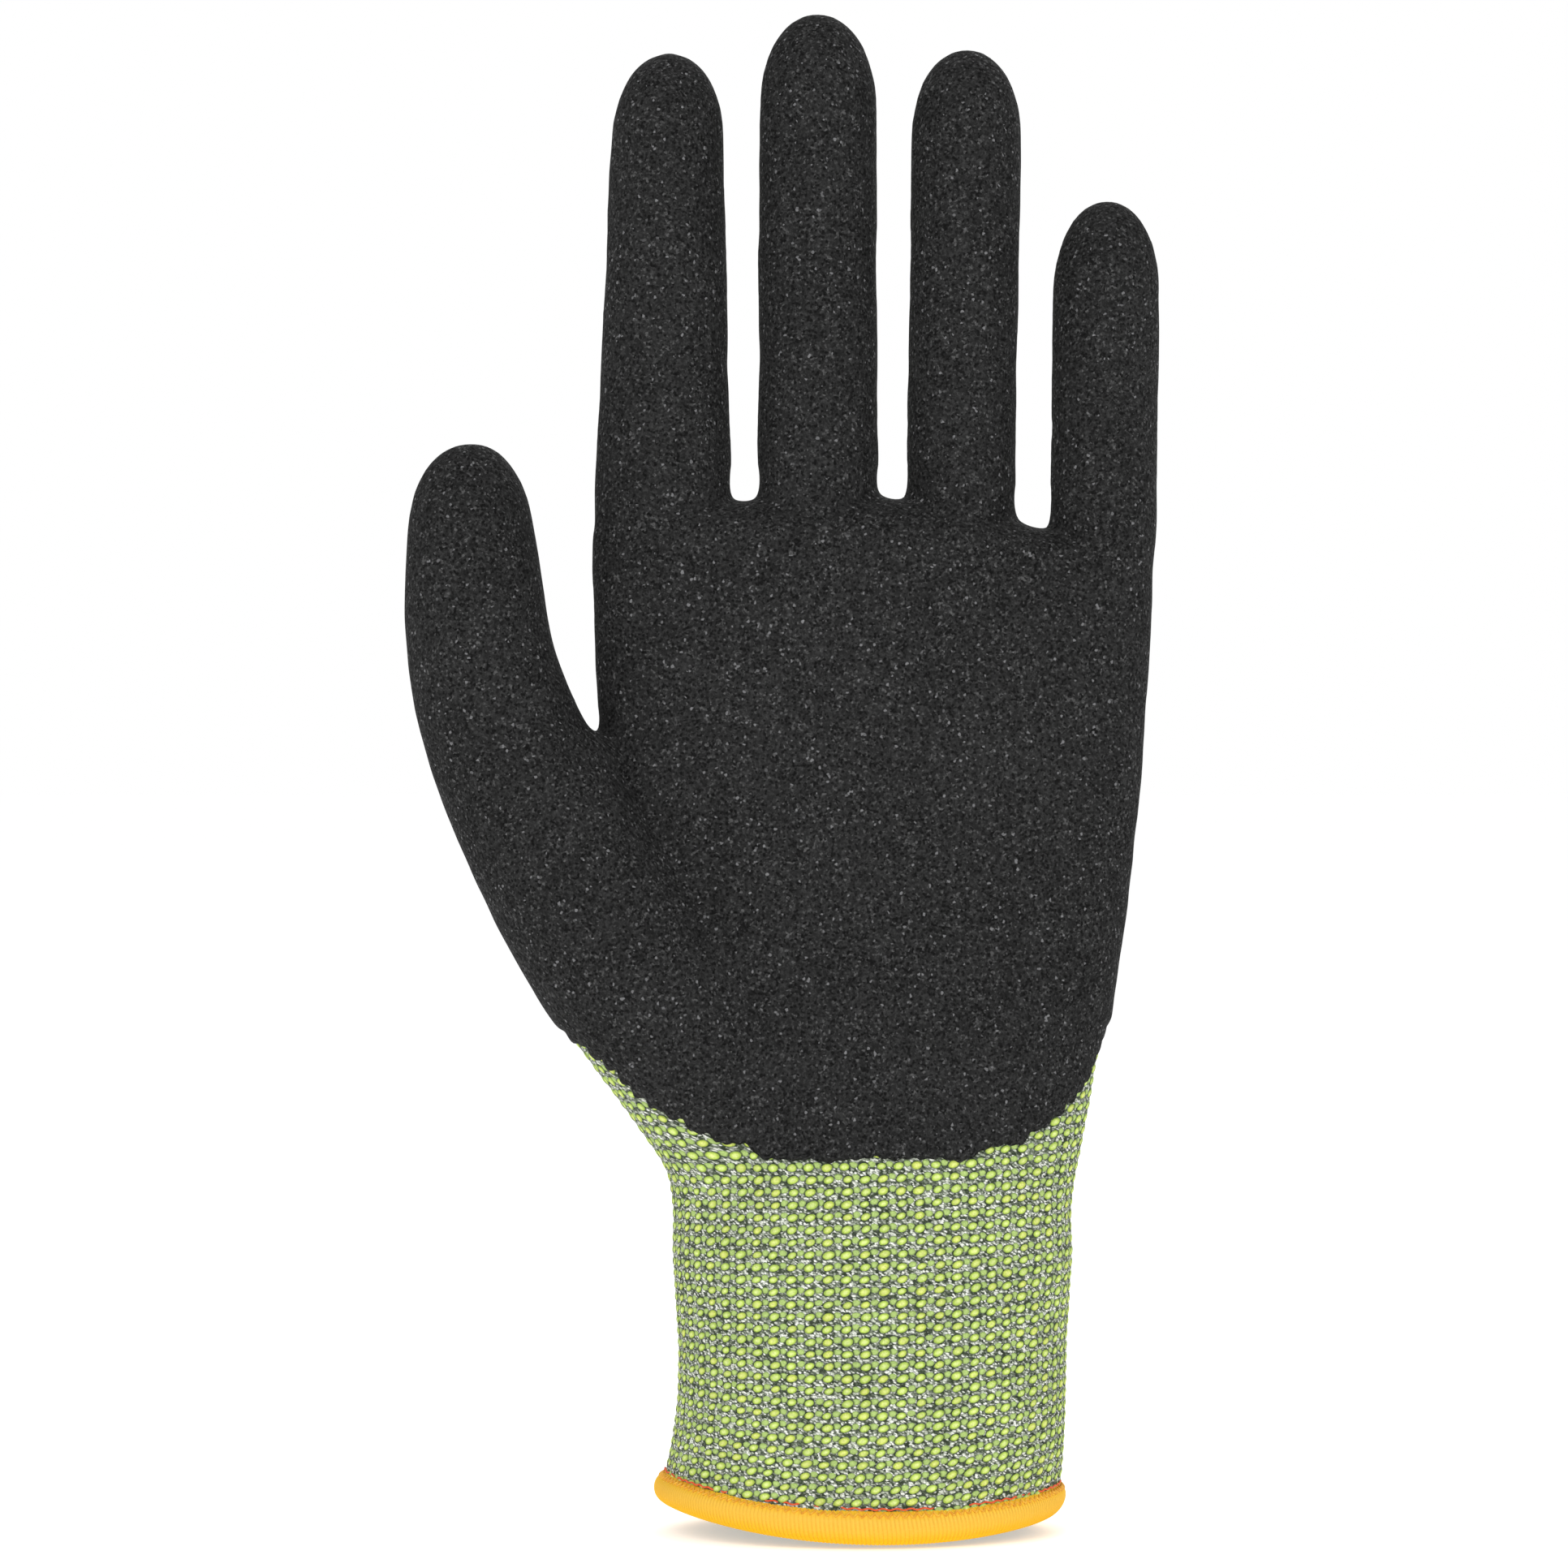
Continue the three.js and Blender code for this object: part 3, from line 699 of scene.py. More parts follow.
class Shading:
    """A small builder of node networks for one material."""

    def __init__(self, name: str) -> None:
        """Starts a material with its principled surface."""
        self.material = bpy.data.materials.new(name)
        self.material.use_nodes = True
        self.tree = self.material.node_tree
        self.surface = self.tree.nodes["Principled BSDF"]

    def node(self, kind: str, **values: object) -> bpy.types.Node:
        """Adds a node and sets its properties."""
        made = self.tree.nodes.new(kind)
        for key, value in values.items():
            setattr(made, key, value)
        return made

    def feed(self, value: object, socket: Socket) -> None:
        """Links an output to a socket, or sets the socket's own value."""
        if isinstance(value, Socket):
            self.tree.links.new(value, socket)
        else:
            socket.default_value = value

    def math(self, operation: str, a: object, b: object = 0.0, c: object = 0.0) -> Socket:
        """One sum."""
        made = self.node("ShaderNodeMath", operation=operation)
        for socket, value in zip(made.inputs, (a, b, c)):
            self.feed(value, socket)
        return made.outputs[0]

    def mix(self, share: object, a: object, b: object, kind: str = "MIX") -> Socket:
        """A mix of two colours."""
        made = self.node("ShaderNodeMix", data_type="RGBA", blend_type=kind)
        for socket, value in zip((made.inputs[0], made.inputs[6], made.inputs[7]), (share, a, b)):
            self.feed(value, socket)
        return made.outputs[2]

    def smooth(
        self, value: object, low: float, high: float, to_low: float = 0.0, to_high: float = 1.0
    ) -> Socket:
        """A smooth step from one value to another."""
        made = self.node("ShaderNodeMapRange", interpolation_type="SMOOTHSTEP")
        for socket, item in zip(made.inputs, (value, low, high, to_low, to_high)):
            self.feed(item, socket)
        return made.outputs[0]

    def joined(self, x: object, y: object, z: object = 0.0) -> Socket:
        """Three numbers as a vector."""
        made = self.node("ShaderNodeCombineXYZ")
        for socket, value in zip(made.inputs, (x, y, z)):
            self.feed(value, socket)
        return made.outputs[0]

    def noise(self, vector: object, scale: float, detail: float = 2.0, roughness: float = 0.5) -> Socket:
        """Smooth noise from 0 to 1."""
        made = self.node("ShaderNodeTexNoise")
        self.feed(vector, made.inputs["Vector"])
        made.inputs["Scale"].default_value = scale
        made.inputs["Detail"].default_value = detail
        made.inputs["Roughness"].default_value = roughness
        return made.outputs["Fac"]

    def cells(self, vector: object, scale: float, kind: str = "Color") -> Socket:
        """Random cells: a colour for each, or the distance to its middle."""
        made = self.node("ShaderNodeTexVoronoi")
        self.feed(vector, made.inputs["Vector"])
        made.inputs["Scale"].default_value = scale
        return made.outputs[kind]

    def ramp(self, value: object, stops: Iterable[tuple[float, Colour]]) -> Socket:
        """A colour for each value."""
        made = self.node("ShaderNodeValToRGB")
        self.feed(value, made.inputs[0])
        stops = list(stops)
        for index, (at, colour) in enumerate(stops):
            spot = made.color_ramp.elements[index] if index < 2 else made.color_ramp.elements.new(at)
            spot.position = at
            spot.color = colour
        return made.outputs[0]

    def here(self) -> Socket:
        """The place on the object."""
        return self.node("ShaderNodeTexCoord").outputs["Object"]

    def bump(self, height: object, distance: float, strength: float = 1.0) -> Socket:
        """A surface turned by a height."""
        made = self.node("ShaderNodeBump")
        made.inputs["Strength"].default_value = strength
        made.inputs["Distance"].default_value = distance
        self.feed(height, made.inputs["Height"])
        return made.outputs[0]

    def dress(
        self, colour: object, roughness: object, normal: object, specular: float, sheen: float = 0.0
    ) -> bpy.types.Material:
        """Finishes the surface.

        Args:
            colour: Its base colour.
            roughness: Its roughness.
            normal: Its turned surface.
            specular: Its specular level.
            sheen: How much fibre sheen it has.

        Returns:
            The material.
        """
        self.feed(colour, self.surface.inputs["Base Color"])
        self.feed(roughness, self.surface.inputs["Roughness"])
        self.feed(normal, self.surface.inputs["Normal"])
        self.surface.inputs["Specular IOR Level"].default_value = specular
        self.surface.inputs["Sheen Weight"].default_value = sheen
        self.surface.inputs["Sheen Roughness"].default_value = 0.6
        return self.material


@dataclass(frozen=True)
class KnitFinish:
    """Bright yarn bumps over rows of twisted grey melange yarn, with painted highlights and painted shade on
    the loops and plies.
    """

    bright: Colour = linear(190, 214, 100)
    # painted highlight: the paler crown in the middle of each big loop
    crown_highlight: Colour = linear(214, 228, 146)
    pale: Colour = linear(170, 194, 116)
    warm: Colour = linear(216, 212, 96)
    shade: Colour = linear(42, 54, 34)

    def material(self) -> bpy.types.Material:
        """Builds the finish on the stitch map."""
        s = Shading("knit_yarn")
        stitches = s.node("ShaderNodeUVMap", uv_map="stitches").outputs[0]
        split = s.node("ShaderNodeSeparateXYZ")
        s.feed(stitches, split.inputs[0])
        place_on = s.here()
        wander = s.math("MULTIPLY_ADD", s.noise(place_on, 420.0, 1.0), 0.16, -0.08)
        column = s.math("ADD", split.outputs[0], wander)
        sway = s.math("MULTIPLY_ADD", s.noise(place_on, 300.0, 1.0), 0.2, -0.1)
        row = s.math("ADD", split.outputs[1], sway)
        u = s.math("FRACT", column)
        v = s.math("FRACT", row)
        beside = s.math("FRACT", s.math("ADD", column, 0.5))

        def oval(across: object, at_u: float, at_v: float, wide: float, tall: float) -> Socket:
            """How far out from an oval's middle, 1 at its rim."""
            a = s.math("DIVIDE", s.math("SUBTRACT", across, at_u), wide)
            b = s.math("DIVIDE", s.math("SUBTRACT", v, at_v), tall)
            return s.math("SQRT", s.math("ADD", s.math("MULTIPLY", a, a), s.math("MULTIPLY", b, b)))

        cell = s.node("ShaderNodeTexWhiteNoise", noise_dimensions="2D")
        s.feed(s.joined(s.math("FLOOR", column), s.math("FLOOR", row)), cell.inputs["Vector"])
        chance = s.node("ShaderNodeSeparateColor")
        s.feed(cell.outputs["Color"], chance.inputs[0])
        shift = s.math("MULTIPLY_ADD", chance.outputs[0], 0.1, -0.05)
        lean = s.math("MULTIPLY", s.math("SUBTRACT", v, 0.45), 0.22)
        big = oval(s.math("SUBTRACT", s.math("ADD", u, shift), lean), 0.5, 0.44, 0.27, 0.3)
        big = s.math("MULTIPLY", big, s.math("MULTIPLY_ADD", chance.outputs[1], 0.22, 0.9))
        small = oval(beside, 0.5, 0.62, 0.22, 0.24)
        along = s.math("MULTIPLY_ADD", column, 7.0, s.math("MULTIPLY", row, 2.6))
        twist = s.joined(along, s.math("MULTIPLY", row, 6.0))
        flecks = s.cells(twist, 1.0)
        melange = s.ramp(flecks, [
            (0.0, linear(34, 40, 32)),
            (0.26, linear(72, 80, 66)),
            (0.44, linear(134, 142, 126)),
            (0.6, linear(190, 196, 180)),
            (0.82, linear(238, 240, 232)),
        ])
        plies = s.cells(twist, 1.0, "Distance")
        # painted shade: the melange darkens in the grooves between the plies
        melange = s.mix(s.smooth(plies, 0.4, 0.75, 0.0, 0.75), melange, self.shade)
        fibre = s.noise(place_on, 3200.0, 2.0)
        # painted highlight: each big loop is paler towards its middle
        bright = s.mix(s.smooth(big, 0.15, 0.75), self.crown_highlight, self.bright)
        bright = s.mix(s.smooth(chance.outputs[2], 0.45, 0.95, 0.0, 0.38), bright, self.warm)
        bright = s.mix(s.smooth(chance.outputs[0], 0.6, 0.0, 0.0, 0.3), bright, self.pale)
        # painted shade: the big loop turns darker green towards its edge
        bright = s.mix(s.smooth(big, 0.6, 1.05, 0.0, 0.75), bright, linear(112, 142, 48))
        # painted shade: the small loop turns darker towards its edge
        pale = s.mix(s.smooth(small, 0.5, 1.05, 0.0, 0.6), self.pale, linear(112, 140, 70))
        colour = s.mix(s.smooth(small, 1.12, 0.92), melange, pale)
        # painted shade: a dark ring of the shade colour round each big loop
        rim = s.math("MULTIPLY", s.smooth(big, 0.9, 1.02), s.smooth(big, 1.5, 1.12))
        colour = s.mix(s.math("MULTIPLY", rim, 0.78), colour, self.shade)
        colour = s.mix(s.smooth(big, 1.08, 0.94), colour, bright)
        tone = s.math("MULTIPLY_ADD", s.noise(place_on, 90.0, 2.0), 0.3, 0.85)
        # painted light and shade: the fibre noise that raises the bump also lightens the fibres' ridges and
        # darkens their hollows
        tone = s.math("MULTIPLY", tone, s.math("MULTIPLY_ADD", fibre, 0.7, 0.66))
        grey = s.joined(tone, tone, tone)
        colour = s.mix(1.0, colour, grey, "MULTIPLY")
        height = s.math("ADD", s.smooth(big, 1.1, 0.5, 0.0, 0.4), s.smooth(small, 1.1, 0.5, 0.0, 0.25))
        height = s.math("ADD", height, s.smooth(plies, 0.75, 0.05, 0.0, 0.3))
        height = s.math("MULTIPLY_ADD", fibre, 0.5, height)
        roughness = s.math("MULTIPLY_ADD", fibre, 0.15, 0.82)
        return s.dress(colour, roughness, s.bump(height, 0.00032, 0.9), 0.12, 0.04)


@dataclass(frozen=True)
class RubberFinish:
    """Matt black foam rubber with a sandy grain."""

    dark: Colour = linear(30, 30, 30)
    worn: Colour = linear(36, 36, 36)
    # painted highlight on the tops of the raised grain
    raised: Colour = linear(62, 62, 62)
    speck: Colour = linear(104, 104, 104)
    # painted shade in the foam's pores
    pit_shade: Colour = linear(7, 7, 7)

    def material(self) -> bpy.types.Material:
        """Builds the finish on the object's own coordinates."""
        s = Shading("sandy_rubber")
        at = s.here()
        grain = s.noise(at, 1700.0, 3.0, 0.7)
        broad = s.noise(at, 45.0, 2.0)
        cloud = s.noise(at, 260.0, 2.0)
        patches = s.math("MULTIPLY_ADD", cloud, 0.5, s.math("MULTIPLY", broad, 0.5))
        colour = s.mix(s.smooth(patches, 0.35, 0.65), self.dark, self.worn)
        seeds = s.cells(at, 2600.0)
        split = s.node("ShaderNodeSeparateColor")
        s.feed(seeds, split.inputs[0])
        # painted highlight: the grain noise that raises the bump also lightens its tops
        grain_highlight = s.smooth(grain, 0.42, 0.66)
        colour = s.mix(s.math("MULTIPLY", grain_highlight, 0.55), colour, self.raised)
        fine = s.math("MULTIPLY", s.smooth(split.outputs[0], 0.7, 1.0), s.smooth(grain, 0.4, 0.6))
        colour = s.mix(s.math("MULTIPLY", fine, 0.5), colour, self.speck)
        glint = s.smooth(split.outputs[2], 0.98, 0.99)
        colour = s.mix(s.math("MULTIPLY", glint, 0.45), colour, linear(150, 150, 152))
        # painted shade: near-black spots where the foam's pores are
        pit_shade_mask = s.math("MULTIPLY", s.smooth(split.outputs[1], 0.55, 0.95), 0.8)
        colour = s.mix(pit_shade_mask, colour, self.pit_shade)
        lumps = s.cells(at, 1500.0, "Distance")
        height = s.math("MULTIPLY_ADD", grain, 1.0, s.math("MULTIPLY", lumps, -0.6))
        height = s.math("MULTIPLY_ADD", cloud, 0.3, height)
        roughness = s.smooth(grain, 0.3, 0.7, 0.96, 0.74)
        return s.dress(colour, roughness, s.bump(height, 0.0003, 1.0), 0.08)


@dataclass(frozen=True)
class ThreadFinish:
    """Shiny stitched thread in one colour, with its twist."""

    name: str
    colour: Colour
    # paler colour: a painted highlight on the twist's ridges, and paler blotches at random
    light: Colour
    slot: str
    twist: float = 1500.0

    def material(self) -> bpy.types.Material:
        """Builds the finish on the object's own coordinates."""
        s = Shading(self.name)
        at = s.here()
        fibre = s.noise(at, self.twist, 2.0)
        blotch = s.noise(at, 160.0, 2.0)
        # painted highlight: the noise that raises the twist also lightens it
        colour = s.mix(s.smooth(fibre, 0.3, 0.7), self.colour, self.light)
        colour = s.mix(s.smooth(blotch, 0.4, 0.75, 0.0, 0.35), colour, self.light)
        roughness = s.math("MULTIPLY_ADD", fibre, 0.25, 0.5)
        return s.dress(colour, roughness, s.bump(fibre, 0.00012, 0.7), 0.4, 0.05)


@dataclass(frozen=True)
class HemFinish:
    """Golden overlock thread, with a painted highlight that makes the middle of the roll paler."""

    def material(self) -> bpy.types.Material:
        """Builds the finish on the thread map: u counts the wraps, v goes round the roll."""
        s = Shading("overlock_thread")
        split = s.node("ShaderNodeSeparateXYZ")
        s.feed(s.node("ShaderNodeUVMap", uv_map="wraps").outputs[0], split.inputs[0])
        at = s.here()
        rise = s.math("ADD", split.outputs[1], s.math("MULTIPLY_ADD", s.noise(at, 500.0, 2.0), 0.08, -0.04))
        # painted highlight: the ramp is paler across the middle of the roll, where it bulges out
        colour = s.ramp(rise, [
            (0.0, linear(246, 196, 8)),
            (0.16, linear(243, 184, 22)),
            (0.4, linear(242, 188, 62)),
            (0.66, linear(242, 190, 70)),
            (0.88, linear(240, 188, 44)),
        ])
        thread = s.math("FRACT", split.outputs[0])
        edge = s.math("ABSOLUTE", s.math("SUBTRACT", thread, 0.5))
        # painted shade: each wrap darkens towards its edges, where it meets the next
        colour = s.mix(s.smooth(edge, 0.34, 0.5, 0.0, 0.4), colour, linear(206, 136, 14))
        u, v = split.outputs[:2]
        ply = s.noise(s.joined(s.math("MULTIPLY", u, 3.0), s.math("MULTIPLY", v, 18.0)), 1.0, 2.0)
        # painted highlight: the ply noise that raises the thread also lightens it
        colour = s.mix(s.smooth(ply, 0.5, 0.75, 0.0, 0.2), colour, linear(250, 206, 110))
        height = s.math("ADD", s.smooth(edge, 0.5, 0.1), s.math("MULTIPLY", ply, 0.4))
        roughness = s.math("MULTIPLY_ADD", ply, 0.2, 0.6)
        return s.dress(colour, roughness, s.bump(height, 0.00014, 0.7), 0.15)


# ---- The skin's pieces ----


@dataclass
class GloveSkin:
    """The knitted liner and its coating, in parts that bend across one joint each."""

    form: HandForm
    knit_finish: KnitFinish = field(default_factory=KnitFinish)
    rubber_finish: RubberFinish = field(default_factory=RubberFinish)
    wall: float = 1.6
    foot: float = 1.3
    coating_gap: float = 0.02
    # the coating's sheet is cut this far outside its outline, and is fine this near to it
    spare: float = 2
    near_edge: float = 2.2
    # an edge's end nearer to the outline than this share of it is moved onto it
    snap: float = 0.12
    # the knit under the coating is plain from this far inside it
    hidden: float = 1.0
    show_from: tuple[float, float] = (-0.2, 0.9)
    # where the palm's knit is parted into front and back
    parting: float = -2
    # vertices in the same hundredth of a millimetre share a key
    key_grain: int = 100
    key_shift: int = 40000
    key_step: int = 100000
    edge_run: float = 2.2
    edge_height: float = 0.12
    swell: float = 0.22
    swell_broad: float = 0.07
    swell_fine: float = 0.19

    def __post_init__(self) -> None:
        """Sets up the skin's division, outline and stitches."""
        self.division = Division(self.form)
        self.outline = CoatingOutline(self.form)
        self.knit = Knit(self.form)
        self.outer: list[tuple[bpy.types.Object, Array]] = []

    def build(self) -> None:
        """Builds and dresses every piece of the skin."""
        whole = self.form.skin()
        bmesh.ops.bisect_plane(
            whole, geom=[*whole.verts, *whole.edges, *whole.faces], dist=0.01,
            plane_co=(0, 0, self.foot), plane_no=(0, 0, 1), clear_inner=True,
        )
        self.division.divide(whole)
        self._settle(whole)
        mesh = bpy.data.meshes.new("skin")
        whole.to_mesh(mesh)
        whole.free()
        knit, rubber = self.knit_finish.material(), self.rubber_finish.material()
        for index, part in enumerate(self.division.parts()):
            for back in ((True, False) if part.name == "palm" else (None,)):
                self._finish_piece(part, Layer.KNIT, self._knit_part(mesh, index, back), knit, back)
            if part.name != "cuff":
                self._finish_piece(part, Layer.COATING, self._coating_part(mesh, index), rubber, None)
        self._match_normals()

    def _settle(self, bm: bmesh.types.BMesh) -> None:
        """Gives the fabric its soft unevenness, lifts the hem at its sides and notes each point's normal."""
        outward = bm.verts.layers.float_vector.new("outward")
        bm.verts.layers.float.new("inside")
        bm.faces.layers.int.new("outer")
        bm.loops.layers.uv.new("stitches")
        bm.normal_update()
        verts = list(bm.verts)
        places = positions(verts)
        normals = np.array([vert.normal[:] for vert in verts], float)
        swells = np.array([
            noise.noise(vert.co * self.swell_broad) + 0.5 * noise.noise(vert.co * self.swell_fine)
            for vert in verts
        ])
        places += normals * (self.swell * swells)[:, None]
        places[:, 2] += self.form.hem_lift(places)
        place(verts, places)
        bm.normal_update()
        for vert in verts:
            vert[outward] = vert.normal

    def _section(
        self, mesh: bpy.types.Mesh, index: int, keep: Callable[[Array], Array] | None = None
    ) -> bmesh.types.BMesh:
        """One part of the skin on its own.

        Args:
            mesh: The whole skin.
            index: The part's number.
            keep: Says which face middles stay, or None for all.

        Returns:
            The part.
        """
        bm = bmesh.new()
        bm.from_mesh(mesh)
        number = bm.faces.layers.int["part"]
        gone = [face for face in bm.faces if face[number] != index]
        bmesh.ops.delete(bm, geom=gone, context="FACES")
        if keep is not None:
            gone = [face for face, stays in zip(list(bm.faces), keep(middles(bm.faces))) if not stays]
            bmesh.ops.delete(bm, geom=gone, context="FACES")
        return bm

    def _outward(self, bm: bmesh.types.BMesh, verts: list[bmesh.types.BMVert]) -> Array:
        """The noted normals of some vertices, at full length."""
        layer = bm.verts.layers.float_vector["outward"]
        rows = np.array([vert[layer][:] for vert in verts], float).reshape(-1, 3)
        return rows / np.maximum(np.linalg.norm(rows, axis=1), 1e-6)[:, None]

    def _thicken(self, bm: bmesh.types.BMesh) -> tuple[list[bmesh.types.BMVert], list[bmesh.types.BMVert]]:
        """Makes a closed wall of a sheet, with both faces still in the same place.

        Args:
            bm: The sheet, whose "outer" layer is set here on its outer face.

        Returns:
            The inner and the outer vertices.
        """
        inner = list(bm.verts)
        made = bmesh.ops.extrude_face_region(bm, geom=list(bm.faces), use_keep_orig=True)["geom"]
        outer = [item for item in made if isinstance(item, bmesh.types.BMVert)]
        is_outer = bm.faces.layers.int["outer"]
        for item in made:
            if isinstance(item, bmesh.types.BMFace):
                item[is_outer] = 1
        return inner, outer

    def _knit_part(self, mesh: bpy.types.Mesh, index: int, back: bool | None) -> bmesh.types.BMesh:
        """The knitted wall of one part, made finer where its stitches show."""
        keep = None if back is None else (lambda at: (at[:, 1] > self.parting) == back)
        bm = self._section(mesh, index, keep)
        inner, _ = self._thicken(bm)
        normals = self._outward(bm, inner)
        place(inner, positions(inner) - normals * self.wall)
        is_outer = bm.faces.layers.int["outer"]
        faces = [face for face in bm.faces if face[is_outer]]
        depth = self.outline.depth(middles(faces))
        shown = [face for face, inside in zip(faces, depth) if inside < self.hidden]
        edges = {edge for face in shown for edge in face.edges}
        if edges:
            bmesh.ops.subdivide_edges(bm, edges=list(edges), cuts=1, use_grid_fill=True)
        bmesh.ops.recalc_face_normals(bm, faces=bm.faces)
        return bm

    def _coating_part(self, mesh: bpy.types.Mesh, index: int) -> bmesh.types.BMesh:
        """The coating of one part: a film with a rounded edge."""
        bm = self._section(mesh, index, lambda at: self.outline.depth(at) > -self.spare)
        near = np.abs(self.outline.depth(middles(bm.faces)))
        close = [face for face, away in zip(bm.faces, near) if away < self.near_edge]
        edges = {edge for face in close for edge in face.edges}
        bmesh.ops.subdivide_edges(bm, edges=list(edges), cuts=1, use_grid_fill=True)
        inside = self._carve(bm)
        gone = [face for face in bm.faces if sum(vert[inside] for vert in face.verts) < 0]
        bmesh.ops.delete(bm, geom=gone, context="FACES")
        inner, outer = self._thicken(bm)
        inside = bm.verts.layers.float["inside"]
        for verts, is_outer in ((inner, False), (outer, True)):
            normals = self._outward(bm, verts)
            depth = np.clip(np.array([vert[inside] for vert in verts]), 0, None)
            height = self.form.coating_height
            round_edge = np.sqrt(1 - (1 - np.clip(depth / self.edge_run, 0, 1)) ** 2)
            lift = self.coating_gap + is_outer * (height - self.coating_gap) * round_edge
            lift = np.where(depth <= 0, self.edge_height * is_outer, lift)
            place(verts, positions(verts) + normals * lift[:, None])
        bmesh.ops.recalc_face_normals(bm, faces=bm.faces)
        return bm

    def _carve(self, bm: bmesh.types.BMesh) -> object:
        """Cuts the faces along the coating's outline and notes how far inside it each vertex is."""
        inside = bm.verts.layers.float["inside"]
        for vert, value in zip(bm.verts, self.outline.depth(positions(bm.verts)).tolist()):
            vert[inside] = value
        for edge in bm.edges:
            a, b = edge.verts
            if a[inside] * b[inside] < 0:
                share = a[inside] / (a[inside] - b[inside])
                close = a if share < self.snap else b if share > 1 - self.snap else None
                if close is not None:
                    close.co = a.co.lerp(b.co, share)
                    close[inside] = 0
        for edge in list(bm.edges):
            a, b = edge.verts
            if a[inside] * b[inside] < 0:
                share = a[inside] / (a[inside] - b[inside])
                _, vert = bmesh.utils.edge_split(edge, a, share)
                vert[inside] = 0
        line = [vert for vert in bm.verts if vert[inside] == 0]
        bmesh.ops.connect_verts(bm, verts=line)
        return inside

    def _finish_piece(
        self, part: Part, layer: Layer, bm: bmesh.types.BMesh, material: bpy.types.Material, back: bool | None
    ) -> None:
        """Puts a piece on its bodies, with its stitches if it is knit.

        Args:
            part: The part that it belongs to.
            layer: Its layer.
            bm: Its form; freed here.
            material: Its finish.
            back: Whether it is the palm's back or front, or None for any other part.
        """
        side = {None: "", True: "_back", False: "_front"}[back]
        name = f"{part.name}{side}_{'liner_knit' if layer is Layer.KNIT else 'rubber_film'}"
        outer_faces = [face for face in bm.faces if face[bm.faces.layers.int["outer"]]]
        verts = list({vert for face in outer_faces for vert in face.verts})
        if layer is Layer.KNIT:
            self._stitch(part.name, bm, verts)
        bm.normal_update()
        bm.verts.index_update()
        indices = np.array([vert.index for vert in verts])
        piece = finished_object(name, bm, material)
        self.outer.append((piece, indices))
        suffix = "liner" if layer is Layer.KNIT else "coating"
        if back is not False:
            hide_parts(*(f"{node}_{suffix}" for node in part.nodes))
        start, end = (tuple(value * MM for value in at) for at in (part.start, part.end))
        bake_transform(piece, *part.bodies, start=start, end=end)
        LOG.info("%s: %d faces, between %s and %s", name, len(piece.data.polygons), *part.bodies)

    def _stitch(self, name: str, bm: bmesh.types.BMesh, outer: list[bmesh.types.BMVert]) -> None:
        """Maps the stitches of a knitted wall and raises those that show.

        Args:
            name: The part's name.
            bm: The wall.
            outer: The vertices of its outer face.
        """
        stitches = bm.loops.layers.uv["stitches"]
        bm.verts.index_update()
        places = positions(bm.verts)
        names = (name, "thumb_tip")
        tubes = [(*self.knit.coordinates(tube, places), self.knit.columns_of(tube)) for tube in names]
        thumb = self.knit.on_thumb(name, places)
        for face in bm.faces:
            corners = [vert.index for vert in face.verts]
            column, row, whole = tubes[int(thumb[corners].all())]
            for loop, at in zip(face.loops, corners):
                wrap = round((column[corners[0]] - column[at]) / whole)
                loop[stitches].uv = (column[at] + wrap * whole, row[at] - wrap * self.knit.climb)
        shown = 1 - ease(*self.show_from, self.outline.depth(places))
        column, row = (np.where(thumb, tubes[1][k], tubes[0][k]) for k in range(2))
        places += self._outward(bm, list(bm.verts)) * (self.knit.relief(column, row) * shown)[:, None]
        place(outer, places[[vert.index for vert in outer]])

    def _match_normals(self) -> None:
        """Shades neighbouring parts as one surface, with the same normals where they meet."""
        keys, normals, owners = [], [], []
        for order, (piece, indices) in enumerate(self.outer):
            places = self._rows(piece.data.vertices, "co")
            spot = np.rint(places[indices] / MM * self.key_grain).astype(np.int64)
            kind = 0 if "knit" in piece.name else 1
            x, y, z = (spot + self.key_shift).T
            keys.append(((kind * self.key_step + x) * self.key_step + y) * self.key_step + z)
            normals.append(self._rows(piece.data.vertex_normals, "vector")[indices])
            owners.append(np.full(len(indices), order))
        _, group = np.unique(np.concatenate(keys), return_inverse=True)
        rows = np.concatenate(normals).astype(float)
        total = np.zeros((group.max() + 1, 3))
        np.add.at(total, group, rows)
        total /= np.maximum(np.linalg.norm(total, axis=1), 1e-9)[:, None]
        owner = np.concatenate(owners)
        for order, (piece, indices) in enumerate(self.outer):
            turned = self._rows(piece.data.vertex_normals, "vector")
            turned[indices] = total[group[owner == order]]
            piece.data.normals_split_custom_set_from_vertices(turned.tolist())

    @staticmethod
    def _rows(items: bpy.types.bpy_prop_collection, key: str) -> Array:
        """One vector of each item, one row each."""
        rows = np.zeros(len(items) * 3, np.float32)
        items.foreach_get(key, rows)
        return rows.reshape(-1, 3)


# ---- The cuff's trim ----


